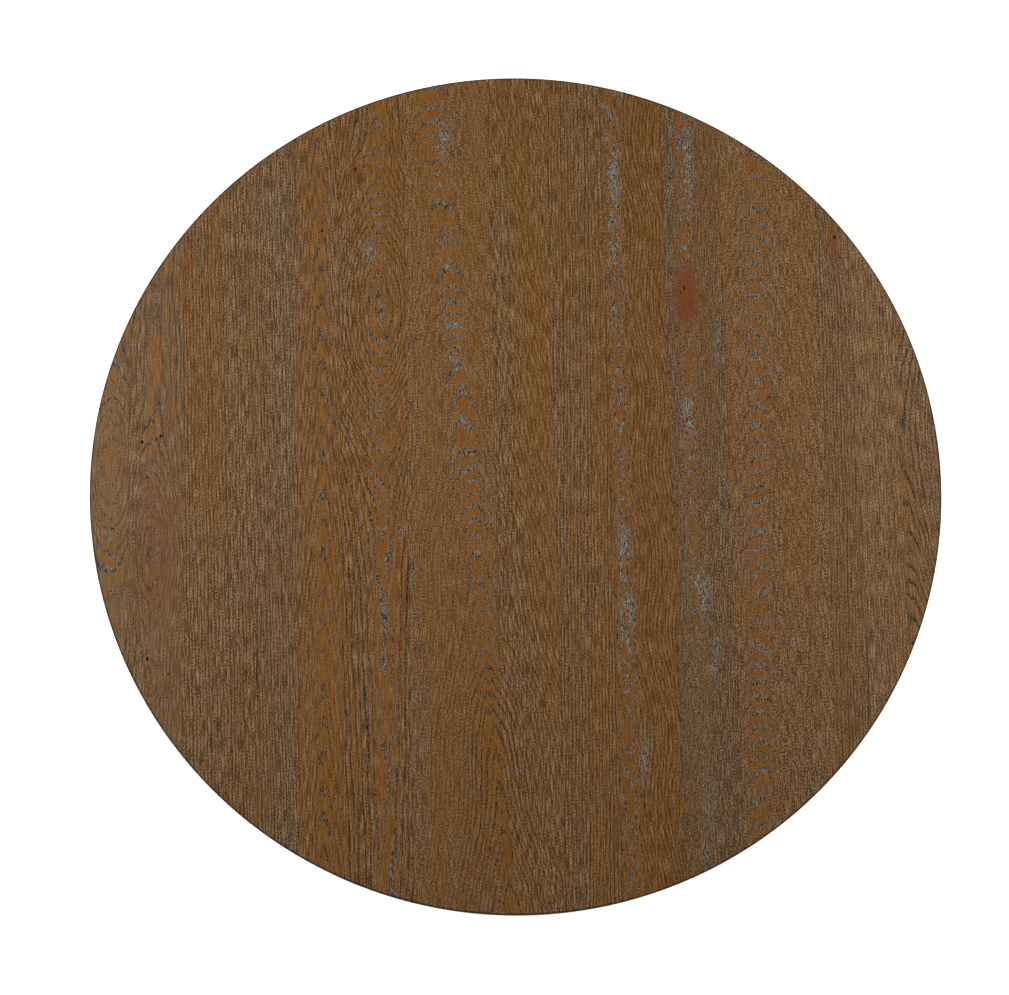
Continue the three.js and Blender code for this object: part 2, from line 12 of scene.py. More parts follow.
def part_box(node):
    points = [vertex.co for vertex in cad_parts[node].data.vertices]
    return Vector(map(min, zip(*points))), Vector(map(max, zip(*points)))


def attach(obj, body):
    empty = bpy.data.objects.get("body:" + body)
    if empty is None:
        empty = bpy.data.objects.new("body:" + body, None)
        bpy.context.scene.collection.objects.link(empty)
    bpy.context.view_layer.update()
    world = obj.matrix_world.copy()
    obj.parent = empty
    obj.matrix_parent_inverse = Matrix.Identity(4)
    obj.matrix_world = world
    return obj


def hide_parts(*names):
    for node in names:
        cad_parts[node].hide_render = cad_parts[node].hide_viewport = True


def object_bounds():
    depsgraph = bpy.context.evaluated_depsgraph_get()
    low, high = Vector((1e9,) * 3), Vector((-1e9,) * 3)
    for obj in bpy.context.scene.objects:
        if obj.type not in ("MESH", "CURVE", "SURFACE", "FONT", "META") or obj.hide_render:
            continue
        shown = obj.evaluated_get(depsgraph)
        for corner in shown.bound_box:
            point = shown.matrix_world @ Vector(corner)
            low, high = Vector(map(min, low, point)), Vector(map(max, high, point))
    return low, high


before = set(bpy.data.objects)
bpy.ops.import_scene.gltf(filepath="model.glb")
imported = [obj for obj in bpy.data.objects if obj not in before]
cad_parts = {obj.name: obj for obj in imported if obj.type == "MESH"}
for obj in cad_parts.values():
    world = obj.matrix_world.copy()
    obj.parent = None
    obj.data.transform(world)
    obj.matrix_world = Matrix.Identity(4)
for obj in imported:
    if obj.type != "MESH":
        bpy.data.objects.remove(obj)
cad_low, cad_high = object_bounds()
MM = 0.001

# ---- sizes, as in the CAD model
GAP = 0.3 * MM
TOP_LOW, TOP_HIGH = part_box("top_plank_08")
TOP_RADIUS = cad_high.x
TOP_Z = TOP_HIGH.z
TOP_BASE = TOP_LOW.z
FRAME_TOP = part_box("bearer_across")[1].z
BEARER_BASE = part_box("bearer_across")[0].z
EDGE_ROUND = 4 * MM

BEARER_HALF = 35 * MM
END_DEPTH_SHARE = 0.45
END_TAPER = 70 * MM
RAIL_ROUND = 1.6 * MM
SLOT_TRAVEL = 5 * MM
HEAD_CLEARANCE = 1 * MM

COLUMN_LOW, COLUMN_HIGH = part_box("column")
DRUM_RADIUS = 78 * MM
DRUM_RISE = 12 * MM
BEAD_RADIUS = 13 * MM
VASE_FOOT, VASE_BELLY, VASE_NECK = 60 * MM, 86 * MM, 50 * MM
BELLY_SHARE = 0.3
NECK_BEAD = 8 * MM
CAPITAL_RADIUS, CAPITAL_HEIGHT, CAPITAL_FLARE, CAPITAL_LIP = 94 * MM, 22 * MM, 34 * MM, 6 * MM

LEG_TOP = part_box("leg_1")[1].z
LEG_BASE = COLUMN_LOW.z
LEG_WIDTH = 64 * MM
LEG_ROUND = 5 * MM
FOOT_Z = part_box("leg_1")[0].z
FOOT_HALF = 42 * MM
TOE_HEIGHT = 64 * MM
TOE_BULGE = 14 * MM
KNEE_SETBACK = 24 * MM
ARCH_HANDLE, HEEL_HANDLE = 120 * MM, 85 * MM
KNEE_HANDLE, INSTEP_HANDLE = 90 * MM, 110 * MM
DOVETAIL_DEPTH, DOVETAIL_NECK, DOVETAIL_FLARE = 18 * MM, 24 * MM, 4 * MM
DOVETAIL_STOP = 32 * MM
LEG_ANGLES = [math.pi / 4 + quarter * math.pi / 2 for quarter in range(4)]

SPIDER_LOW, SPIDER_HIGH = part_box("spider_plate")
SPIDER_REACH = 128 * MM
SPIDER_ARM = 42 * MM
SPIDER_SCREW_R = 106 * MM

ROD_RADIUS = 5 * MM
ROD_PITCH = 1.5 * MM
NUT_FLATS = 17 * MM
WASHER_RADIUS = 14 * MM
ROD_RECESS_DEPTH, ROD_RECESS_RADIUS = 16 * MM, 18 * MM

SCREW_RADIUS = 2.5 * MM
SCREW_PITCH = 2.2 * MM
SCREW_HEAD_RADIUS = 5 * MM
SCREW_HEAD_HEIGHT = 3.5 * MM
SCREW_SOCKET_FLATS = 4 * MM
SCREW_SOCKET_DEPTH = 1.8 * MM
SCREW_TIP = 6 * MM
SCREW_SHANK_SHARE = 0.35
SCREW_THREAD_SHARE = 0.3
SCREW_SIDES = 20

GLIDE_R = 430 * MM
PAD_RADIUS = 20 * MM
PAD_SHOULDER = 8 * MM
PAD_SOCKET_DEPTH = 4 * MM
SOLE_HEIGHT = 2.2 * MM
STEM_RADIUS = 4 * MM
STEM_PITCH = 1.25 * MM
STEM_FLATS = 14 * MM
STEM_HEX = 5.5 * MM
INSERT_RADIUS, INSERT_FLANGE_R, INSERT_FLANGE = 6.5 * MM, 10 * MM, 1.5 * MM
OVERCUT = 5 * MM


# ---- camera and lamps
CAMERA_LENS = 86.9
CAMERA_SENSOR = 36
CAMERA_CLIP_END = 40
CAMERA_DISTANCE = 5.709 * TOP_RADIUS
CAMERA_ELEVATION = math.radians(79.46)
CAMERA_AZIMUTH = math.radians(-4.27)
CAMERA_ROLL = math.radians(-1.225)
CAMERA_AIM = Vector((-0.0285 * TOP_RADIUS, -0.0338 * TOP_RADIUS, TOP_Z))
LAMP_SIZE = 1.6
LAMP_PLACE = (1.7, 0.4, 2.4)
LAMP_AIM = (0.1, 0.2, 0.7)
LEFT_POWER, RIGHT_POWER = 43, 40
WORLD_STRENGTH = 0.42


def add_object(name, data):
    made = bpy.data.objects.new(name, data)
    bpy.context.scene.collection.objects.link(made)
    return made


def add_camera():
    level = math.cos(CAMERA_ELEVATION)
    aside, forward = math.sin(CAMERA_AZIMUTH), -math.cos(CAMERA_AZIMUTH)
    back = Vector((aside * level, forward * level, math.sin(CAMERA_ELEVATION)))
    side = Vector((0, 1, 0)).cross(back).normalized()
    up = back.cross(side)
    right = math.cos(CAMERA_ROLL) * side + math.sin(CAMERA_ROLL) * up
    top = -math.sin(CAMERA_ROLL) * side + math.cos(CAMERA_ROLL) * up
    data = bpy.data.cameras.new("camera")
    data.lens = CAMERA_LENS
    data.sensor_width = CAMERA_SENSOR
    data.clip_end = CAMERA_CLIP_END
    turn = Matrix((right, top, back)).transposed().to_4x4()
    camera = add_object("camera", data)
    camera.matrix_world = Matrix.Translation(CAMERA_AIM + CAMERA_DISTANCE * back) @ turn
    bpy.context.scene.camera = camera


def add_lamp(name, side, power):
    """A round lamp on the side -1 or 1, aimed at the top."""
    place = Vector((side * LAMP_PLACE[0], *LAMP_PLACE[1:]))
    aim = Vector((side * LAMP_AIM[0], *LAMP_AIM[1:]))
    data = bpy.data.lights.new(name, "AREA")
    data.shape = "DISK"
    data.size = LAMP_SIZE
    data.energy = power
    lamp = add_object(name, data)
    lamp.location = place
    lamp.rotation_euler = (aim - place).to_track_quat("-Z", "Y").to_euler()


# ---- shader graphs
class Graph:
    """Short names for the nodes that the materials use."""

    def __init__(self, tree):
        self.tree = tree

    def node(self, kind, **settings):
        made = self.tree.nodes.new(kind)
        for key, value in settings.items():
            setattr(made, key, value)
        return made

    def feed(self, socket, value):
        if isinstance(value, bpy.types.NodeSocket):
            self.tree.links.new(value, socket)
        elif value is not None:
            socket.default_value = value

    def filled(self, kind, values, **settings):
        """A node with values, in the order of its inputs."""
        made = self.node(kind, **settings)
        for socket, value in zip(made.inputs, values):
            self.feed(socket, value)
        return made.outputs

    def math(self, operation, *values, clamp=False):
        return self.filled("ShaderNodeMath", values, operation=operation, use_clamp=clamp)[0]

    def times(self, first, second, clamp=False):
        return self.math("MULTIPLY", first, second, clamp=clamp)

    def times_add(self, first, second, added, clamp=False):
        return self.math("MULTIPLY_ADD", first, second, added, clamp=clamp)

    def vector(self, operation, *values):
        outputs = self.filled("ShaderNodeVectorMath", values, operation=operation)
        return outputs["Value" if operation in ("DOT_PRODUCT", "LENGTH") else "Vector"]

    def join(self, x, y, z):
        return self.filled("ShaderNodeCombineXYZ", (x, y, z))[0]

    def noise(self, vector, stretch, detail=2.0, roughness=0.5, shift=0.0):
        """Noise whose features are about 1/stretch metres along each axis."""
        placed = self.vector("MULTIPLY_ADD", vector, stretch, (shift, shift, shift))
        made = self.node("ShaderNodeTexNoise")
        settings = {"Vector": placed, "Scale": 1.0, "Detail": detail, "Roughness": roughness}
        for name, value in settings.items():
            self.feed(made.inputs[name], value)
        return made.outputs[0]

    def ramp(self, value, low, high, to_low=0.0, to_high=1.0):
        values = (value, low, high, to_low, to_high)
        return self.filled("ShaderNodeMapRange", values, interpolation_type="SMOOTHSTEP")[0]

    def mix(self, share, first, second, blend="MIX"):
        made = self.node("ShaderNodeMix", data_type="RGBA", blend_type=blend)
        self.feed(made.inputs[0], share)
        self.feed(made.inputs[6], first)
        self.feed(made.inputs[7], second)
        return made.outputs[2]


def srgb(red, green, blue):
    """A colour given in 0 to 255 display values, through the standard sRGB curve."""
    shares = (red / 255, green / 255, blue / 255)
    return (*(c / 12.92 if c <= 0.04045 else ((c + 0.055) / 1.055) ** 2.4 for c in shares), 1.0)


def new_material(name):
    """A material, its graph and the inputs of its shader."""
    material = bpy.data.materials.new(name)
    material.use_nodes = True
    return material, Graph(material.node_tree), material.node_tree.nodes["Principled BSDF"].inputs


def dress(g, shader, colour, rough, height, strength, relief):
    """Gives the shader its colour and roughness, and a bump from height, relief metres deep."""
    g.feed(shader["Base Color"], colour)
    g.feed(shader["Roughness"], rough)
    bump = g.node("ShaderNodeBump")
    for name, value in (("Strength", strength), ("Distance", relief), ("Height", height)):
        g.feed(bump.inputs[name], value)
    g.feed(shader["Normal"], bump.outputs[0])


# ---- oak
BROWN = srgb(113, 84, 53)
ORANGE = srgb(127, 81, 27)
DARK = srgb(34, 19, 6)
LIMED = srgb(190, 163, 126)
GREY = srgb(132, 134, 128)
KNOT = srgb(112, 56, 16)
HOLE = srgb(26, 15, 8)
WOOD_LEVEL = 0.69
DARK_SHARE, PALE_SHARE = 0.85, 0.54
WOOD_SPECULAR = 0.08
WOOD_BUMP, WOOD_RELIEF = 0.55, 0.25 * MM
# painted shade on the top's rounded edge: the share of the colour left at the very rim
PAINTED_RIM_SHADE = 0.42

# stretches of noise, as features in a metre: across the board, along the grain and down
WOBBLE, JAG = (60, 9, 60), (260, 30, 260)
DASHES, STREAKS, SPECKS = (560, 330, 560), (520, 34, 520), (760, 110, 760)
MOOD, BANDS = (20, 1.1, 20), (95, 2.5, 95)
BENDS, CURLS = (5, 1.5, 5), (13, 7, 13)


def oak_group():
    """Colour, roughness and height of oak, from fibre coordinates and the number of the growth ring."""
    tree = bpy.data.node_groups.new("oak_grain", "ShaderNodeTree")
    number = "NodeSocketFloat"
    tree.interface.new_socket("Fibre", in_out="INPUT", socket_type="NodeSocketVector")
    for name in ("Rings", "Heart", "Warmth", "Liming", "Fleck", "Streak", "Lines", "Value", "Knot", "Hole"):
        tree.interface.new_socket(name, in_out="INPUT", socket_type=number)
    for name, kind in (("Color", "NodeSocketColor"), ("Roughness", number), ("Height", number)):
        tree.interface.new_socket(name, in_out="OUTPUT", socket_type=kind)
    g = Graph(tree)
    given = g.node("NodeGroupInput").outputs
    fibre = given["Fibre"]
    heart = given["Heart"]

    # where in its growth ring a point is: 0 at the porous early wood, up to 1 in the dense late wood
    wobble = g.noise(fibre, WOBBLE, 1, 0.5)
    jag = g.noise(fibre, JAG, 1, 0.5, 2.3)
    rings = g.times_add(wobble, 1.3, given["Rings"])
    rings = g.times_add(jag, g.times_add(heart, 0.7, 0.2), rings)
    phase = g.math("FRACT", rings)
    chance = g.node("ShaderNodeTexWhiteNoise", noise_dimensions="1D")
    g.feed(chance.inputs["W"], g.math("FLOOR", rings))
    strength = g.ramp(chance.outputs["Value"], 0.0, 0.8, 0.6, 1.0)
    opening = g.ramp(phase, 0.0, 0.1)
    closed = g.times_add(heart, 0.22, 0.38)
    early = g.times(opening, g.ramp(phase, 0.16, closed, 1.0, 0.0))
    flank = g.times_add(g.math("SUBTRACT", 1.0, given["Lines"]), heart, given["Lines"])
    early = g.times(early, g.times(strength, flank))

    # strokes along the grain: short pore dashes, long fine streaks, and specks in the early wood
    dashes = g.noise(fibre, DASHES, 0, 0.5, 11.3)
    streaks = g.noise(fibre, STREAKS, 0, 0.5, 19.9)
    specks = g.noise(fibre, SPECKS, 0, 0.5, 27.1)

    # smooth orange zones and limed flecky zones
    mood = g.noise(fibre, MOOD, 2, 0.6, 3.1)
    bands = g.noise(fibre, BANDS, 2, 0.6, 7.7)
    open_grain = g.ramp(mood, 0.62, 0.38)
    warmth = g.times_add(open_grain, -0.35, given["Warmth"])
    warmth = g.math("ADD", warmth, g.times_add(bands, 0.9, -0.15))
    warmth = g.times_add(heart, 0.55, warmth)
    warmth = g.times_add(early, -0.5, warmth, clamp=True)
    colour = g.mix(warmth, BROWN, ORANGE)
    tone = g.times(g.ramp(bands, 0.25, 0.75, 1.05, 0.95), given["Value"])
    colour = g.mix(1.0, colour, g.join(tone, tone, tone), "MULTIPLY")

    spread = g.times(given["Fleck"], g.times_add(open_grain, 0.22, 0.52))
    spread = g.times(spread, g.times_add(heart, -0.55, 1.0))
    both = g.times_add(g.math("SUBTRACT", streaks, dashes), given["Streak"], dashes)
    dark_fleck = g.times(g.ramp(both, 0.49, 0.39), spread)
    pale_fleck = g.times(g.ramp(both, 0.52, 0.62), spread)
    colour = g.mix(g.times(dark_fleck, DARK_SHARE, clamp=True), colour, DARK)
    colour = g.mix(g.times(pale_fleck, PALE_SHARE, clamp=True), colour, LIMED)

    # the early wood: dark pores with pale grey lime in some of them
    stroke = g.math("ADD", g.times(specks, 0.5), g.times(dashes, 0.5))
    solid = g.times_add(heart, -0.45, 0.6)
    pores = g.times(early, g.ramp(stroke, 0.6, 0.42, solid, 1.0))
    colour = g.mix(g.times(pores, 1.0, clamp=True), colour, DARK)
    limed = g.times(given["Liming"], g.times_add(heart, 0.88, 0.12))
    lime = g.times(early, g.times(limed, g.ramp(stroke, 0.46, 0.56)))
    smudge = g.math("SUBTRACT", given["Liming"], 1.0, clamp=True)
    lime = g.times_add(smudge, g.ramp(stroke, 0.44, 0.58), lime, clamp=True)
    colour = g.mix(g.times(smudge, g.ramp(stroke, 0.5, 0.4), clamp=True), colour, DARK)
    colour = g.mix(lime, colour, GREY)

    # knots are smooth and red brown, and holes are dark
    smooth_knot = g.times(given["Knot"], g.ramp(both, 0.4, 0.6, 0.6, 1.0), clamp=True)
    colour = g.mix(smooth_knot, colour, KNOT)
    colour = g.mix(given["Hole"], colour, HOLE)
    colour = g.mix(1.0, colour, (WOOD_LEVEL, WOOD_LEVEL, WOOD_LEVEL, 1.0), "MULTIPLY")

    height = g.times_add(pores, -0.8, 1.0)
    height = g.times_add(dark_fleck, -0.45, height)
    height = g.times_add(given["Hole"], -2.0, height)
    rough = g.times_add(pale_fleck, 0.12, 0.6)
    rough = g.times_add(pores, 0.16, rough)
    end = g.node("NodeGroupOutput")
    for name, value in (("Color", colour), ("Roughness", rough), ("Height", height)):
        g.feed(end.inputs[name], value)
    return tree


OAK = oak_group()


def hill(g, x, y, knot):
    """1 at a knot's middle, falling away over its half widths."""
    kx, ky, wide, long = knot[:4]
    across = g.times(g.math("SUBTRACT", x, kx), 1 / wide)
    along = g.times(g.math("SUBTRACT", y, ky), 1 / long)
    square = g.math("ADD", g.times(across, across), g.times(along, along))
    return g.math("EXPONENT", g.times(square, -1.0))


def oak(
    name, across, along, depth,
    heart=0.0, drift=0.0, sunk=8 * MM, dip=0.0, tilt=0.2, wave=(0.0, 1.0, 0.0), ring=6 * MM, width=14 * MM,
    bend=4 * MM, curl=0.0, warmth=0.35, liming=0.5, fleck=0.8, streak=0.5, lines=1.0, value=1.0,
    knots=(), etched=(), patches=(), holes=(), shift=0.0, painted_rim_shade=False,
):
    """A board cut from a log. across, along and depth are unit vectors, and along is the grain.

    The pith lies at across = heart + drift * y, and sunk + dip * y below the surface: near it the arches are
    pointed, far from it they are round. tilt is how the rings taper along the grain, so that the cut shows
    arches, which point up for a positive tilt. wave (size, turns per metre, phase) varies it. ring is the
    width of a growth ring, and width is the half width of the smooth heart. bend and curl are how far the
    grain wanders, in long bends and in small curls. streak is how much of the fleck is long. A knot is
    (x, y, half width, half length, swell, redness): it swells the rings by that much. A hole is
    (x, y, half width, half length), and a patch of lime is the same with an amount. lines is how dark the
    rings are beside the heart, and etched places, like patches, add to it. rim darkens the colour near the
    top's rounded edge as painted shade.
    """
    material, g, shader = new_material(name)
    place = g.node("ShaderNodeTexCoord").outputs["Object"]
    x, y, z = (g.vector("DOT_PRODUCT", place, tuple(axis)) for axis in (across, along, depth))
    seat = g.join(x, y, z)
    bends = g.noise(seat, BENDS, 2, 0.5, shift)
    wandered = g.math("ADD", x, g.times_add(bends, 2 * bend, -bend))
    if curl:
        curls = g.noise(seat, CURLS, 1, 0.4, shift + 9.0)
        wandered = g.math("ADD", wandered, g.times_add(curls, 2 * curl, -curl))
    aside = g.math("SUBTRACT", wandered, g.times_add(y, drift, heart))
    below = g.times_add(y, dip, g.math("ADD", z, sunk))
    square = g.math("ADD", g.times(aside, aside), g.times(below, below))
    distance = g.times_add(y, tilt, g.math("SQRT", square))
    size, turns, phase = wave
    if size:
        swing = g.math("SINE", g.times_add(y, turns * 2 * math.pi, phase))
        distance = g.times_add(swing, size, distance)
    inside = g.times(aside, 1 / width)
    smooth_heart = g.math("EXPONENT", g.times(g.times(inside, inside), -1.0))
    red = 0.0
    for knot in knots:
        near = hill(g, x, y, knot)
        distance = g.times_add(near, knot[4], distance)
        if knot[5]:
            red = g.times_add(g.ramp(near, 0.22, 0.88), knot[5], red)
    dark = 0.0
    for hole in holes:
        dark = g.math("ADD", g.ramp(hill(g, x, y, hole), 0.35, 0.6), dark)
    lime = liming
    for patch in patches:
        lime = g.times_add(hill(g, x, y, patch), patch[4], lime)
    drawn = lines
    for spot in etched:
        drawn = g.times_add(hill(g, x, y, spot), spot[4], drawn)
    # in the order of the group's inputs
    wood = g.filled("ShaderNodeGroup", (
        g.vector("ADD", g.join(wandered, y, z), (shift, 3 * shift, 0.0)),
        g.math("DIVIDE", distance, ring),
        smooth_heart, warmth, lime, fleck, streak, drawn, value, red, dark,
    ), node_tree=OAK)
    colour = wood["Color"]
    if painted_rim_shade:
        # painted shade: the colour darkens towards the top's rounded edge
        reach = g.vector("LENGTH", g.vector("MULTIPLY", place, (1, 1, 0)))
        shade = g.ramp(reach, TOP_RADIUS - 5 * MM, TOP_RADIUS - 1.5 * MM, 1.0, PAINTED_RIM_SHADE)
        colour = g.mix(1.0, colour, g.join(shade, shade, shade), "MULTIPLY")
    g.feed(shader["Specular IOR Level"], WOOD_SPECULAR)
    dress(g, shader, colour, wood["Roughness"], wood["Height"], WOOD_BUMP, WOOD_RELIEF)
    return material


X, Y, Z = (1, 0, 0), (0, 1, 0), (0, 0, 1)


# ---- metal and nylon
BLOTCHES = (90, 90, 90)
PLAIN_BUMP = 0.5


def plain_material(name, colour, metallic, base_rough, scratch, grain, bump_depth):
    """Metal or plastic with a fine grain, soft blotches and handling marks in its roughness."""
    material, g, shader = new_material(name)
    place = g.node("ShaderNodeTexCoord").outputs["Object"]
    blotch = g.noise(place, BLOTCHES, 3, 0.6)
    fine = g.noise(place, grain, 2, 0.6, 4.0)
    shade = g.ramp(blotch, 0.3, 0.7, 0.86, 1.1)
    tinted = g.mix(1.0, colour, g.join(shade, shade, shade), "MULTIPLY")
    rough = g.times_add(fine, scratch, base_rough)
    g.feed(shader["Metallic"], metallic)
    dress(g, shader, tinted, rough, fine, PLAIN_BUMP, bump_depth)
    return material


# ---- mesh tools
SHARP_ANGLE = math.radians(32)
TINY = 1e-6


def mesh_object(name, bm):
    """Makes an object of bm, and frees bm."""
    mesh = bpy.data.meshes.new(name)
    bm.to_mesh(mesh)
    bm.free()
    return add_object(name, mesh)


def finish_mesh(name, bm, material, body="root"):
    """Makes an object of bm, smooth but for sharp corners, which stands in for the CAD node of its name."""
    bmesh.ops.recalc_face_normals(bm, faces=bm.faces)
    for face in bm.faces:
        face.smooth = True
    for edge in bm.edges:
        edge.smooth = edge.is_manifold and edge.calc_face_angle(0) < SHARP_ANGLE
    piece = mesh_object(name, bm)
    piece.data.materials.append(material)
    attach(piece, body)
    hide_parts(name)


def bridge(bm, low, high):
    """Joins two rings of vertices by faces. A ring of one vertex closes an end."""
    count = max(len(low), len(high))
    for i in range(count):
        j = (i + 1) % count
        corners = (low[i % len(low)], low[j % len(low)], high[j % len(high)], high[i % len(high)])
        distinct = list(dict.fromkeys(corners))
        if len(distinct) > 2:
            bm.faces.new(distinct)


def loops_to_bmesh(loops):
    """A solid from rings of points, each with the same count, with a cap at both ends."""
    bm = bmesh.new()
    rings = [[bm.verts.new(point) for point in loop] for loop in loops]
    for low, high in zip(rings, rings[1:]):
        bridge(bm, low, high)
    bm.faces.new(reversed(rings[0]))
    bm.faces.new(rings[-1])
    return bm


def turned(outline, sides):
    """Turns a closed outline of (radius, z) about the Z axis. It may start and stop on the axis."""
    bm = bmesh.new()
    rings = []
    for radius, z in outline:
        points = circle(0, 0, radius, sides) if radius > TINY else [(0, 0)]
        rings.append([bm.verts.new((*point, z)) for point in points])
    for low, high in zip(rings, rings[1:] + rings[:1]):
        bridge(bm, low, high)
    return bm


def threaded(radius, pitch, z0, z1, sides=24, steps=6, depth_share=0.61):
    """A screw thread from z0 to z1 as rings whose radius follows the helix, tapered in at both ends.

    steps is the number of rings to a turn, and depth_share is the depth as a share of the pitch.
    """
    rows = max(2, round((z1 - z0) / pitch * steps))
    depth = pitch * depth_share
    loops = []
    for row in range(rows + 1):
        z = z0 + (z1 - z0) * row / rows
        loop = []
        for i in range(sides):
            turn = 2 * math.pi * i / sides
            share = ((z - z0) / pitch - turn / (2 * math.pi)) % 1.0
            groove = 1 - abs(2 * share - 1)
            end = min(1.0, (z - z0) / pitch, (z1 - z) / pitch)
            r = radius - depth * max(groove, 1 - end)
            loop.append((*polar(r, turn), z))
        loops.append(loop)
    return loops


def polar(radius, angle, x=0.0, y=0.0):
    return x + radius * math.cos(angle), y + radius * math.sin(angle)


def arc(centre_r, centre_z, radius, start, stop, steps):
    """Points on a part of a circle, from start to stop in degrees."""
    angles = [math.radians(start + (stop - start) * i / steps) for i in range(steps + 1)]
    return [polar(radius, angle, centre_r, centre_z) for angle in angles]


def swell(start, stop, steps):
    """Points after start on an S curve, upright at both its ends."""
    points = []
    for i in range(1, steps + 1):
        share = i / steps
        eased = share * share * (3 - 2 * share)
        points.append((start[0] + (stop[0] - start[0]) * eased, start[1] + (stop[1] - start[1]) * share))
    return points


def bezier(p0, p1, p2, p3, steps):
    """Points after p0 on a cubic curve."""
    points = []
    for i in range(1, steps + 1):
        t = i / steps
        a, b, c, d = (1 - t) ** 3, 3 * t * (1 - t) ** 2, 3 * t * t * (1 - t), t**3
        points.append(tuple(a * q0 + b * q1 + c * q2 + d * q3 for q0, q1, q2, q3 in zip(p0, p1, p2, p3)))
    return points


def prism(points, z0, z1, round_=0.0, steps=3):
    """Extrudes a closed outline from z0 to z1, with its upper and lower edges rounded."""
    corners = [Vector(point) for point in points]
    following = corners[1:] + corners[:1]
    area = sum(a.x * b.y - b.x * a.y for a, b in zip(corners, following))
    sign = 1 if area > 0 else -1
    normals = []
    for last, here, ahead in zip(corners[-1:] + corners[:-1], corners, following):
        before, after = here - last, ahead - here
        n0 = Vector((before.y, -before.x)).normalized()
        n1 = Vector((after.y, -after.x)).normalized()
        middle = (n0 + n1).normalized()
        normals.append(middle / max(0.5, middle.dot(n1)) * sign)
    levels = [(0.0, z0), (0.0, z1)]
    if round_:
        turn = [math.pi / 2 * i / steps for i in range(steps + 1)]
        low = [(round_ * (1 - math.sin(a)), z0 + round_ * (1 - math.cos(a))) for a in turn]
        levels = low + [(inset, z0 + z1 - z) for inset, z in reversed(low)]
    loops = []
    for inset, z in levels:
        loops.append([(p[0] - n.x * inset, p[1] - n.y * inset, z) for p, n in zip(points, normals)])
    return loops_to_bmesh(loops)


def box_bm(x0, x1, y0, y1, z0, z1):
    return prism([(x0, y0), (x1, y0), (x1, y1), (x0, y1)], z0, z1)


def circle(x, y, radius, steps=32):
    return [polar(radius, 2 * math.pi * i / steps, x, y) for i in range(steps)]


def stadium(x, y, half, radius, steps=12):
    """A round-ended slot along X, half being from its middle to the middle of an end."""
    right = [math.pi * i / steps - math.pi / 2 for i in range(steps + 1)]
    return [polar(radius, a, x + half, y) for a in right] + [polar(-radius, a, x - half, y) for a in right]


def hexagon(flats):
    return circle(0, 0, flats / math.sqrt(3), 6)


def combine(bm, others, operation="DIFFERENCE"):
    """Cuts or joins solids and returns the result."""
    for solid in (bm, *others):
        bmesh.ops.recalc_face_normals(solid, faces=solid.faces)
    target = mesh_object("cut_target", bm)
    tools = [mesh_object("cut_tool", other) for other in others]
    for tool in tools:
        modifier = target.modifiers.new("cut", "BOOLEAN")
        modifier.operation = operation
        modifier.solver = "EXACT"
        modifier.object = tool
    depsgraph = bpy.context.evaluated_depsgraph_get()
    result = bmesh.new()
    result.from_object(target, depsgraph)
    for made in [target, *tools]:
        mesh = made.data
        bpy.data.objects.remove(made)
        bpy.data.meshes.remove(mesh)
    bmesh.ops.remove_doubles(result, verts=result.verts, dist=TINY)
    bmesh.ops.dissolve_degenerate(result, edges=result.edges, dist=TINY)
    return result


def rotated(bm, angle, axis="Z"):
    bmesh.ops.transform(bm, matrix=Matrix.Rotation(angle, 4, axis), verts=bm.verts)
    return bm


def moved(bm, x=0.0, y=0.0, z=0.0):
    bmesh.ops.transform(bm, matrix=Matrix.Translation((x, y, z)), verts=bm.verts)
    return bm


# ---- the top's boards
ARC_STEP = math.radians(1.2)
BASE_STEPS, TOP_STEPS = 5, 7


def plank_outline(radius, left, right):
    """The outline of a slice of a disc at one level, always with the same number of points for a board."""
    first, last = left <= -TOP_RADIUS + MM, right >= TOP_RADIUS - MM

    def ends(reach):
        return math.pi if first else math.acos(left / reach), 0.0 if last else math.acos(right / reach)

    start, stop = ends(radius)
    full_start, full_stop = ends(TOP_RADIUS)
    steps = max(4, math.ceil((full_start - full_stop) / ARC_STEP))
    upper = [start + (stop - start) * i / steps for i in range(steps + 1)]
    lower = [-a for a in reversed(upper)]
    if first:
        lower.pop()
    if last:
        lower.pop(0)
    return [polar(radius, angle) for angle in upper + lower]


def plank_bmesh(left, right):
    """A board between two joints, with the top's rounded edge at its ends."""
    r = EDGE_ROUND
    low = arc(TOP_RADIUS - r, TOP_BASE + r, r, -90, 0, BASE_STEPS)
    high = arc(TOP_RADIUS - r, TOP_Z - r, r, 0, 90, TOP_STEPS)
    levels = low + high
    loops = [[(px, py, z) for px, py in plank_outline(radius, left, right)] for radius, z in levels]
    bm = loops_to_bmesh(loops)
    give_bake_map(bm, left, right, max(abs(v.co.y) for v in bm.verts))
    return bm


# shares of the baked picture: the top face gets the widest strip, the rest is narrow
BAKE_TOP, BAKE_BASE = (0.005, 0.70), (0.71, 0.84)
BAKE_SIDES, BAKE_RIM = ((0.85, 0.885), (0.89, 0.925)), (0.93, 0.995)
BAKE_MARGIN, BAKE_END = 0.005, 0.485


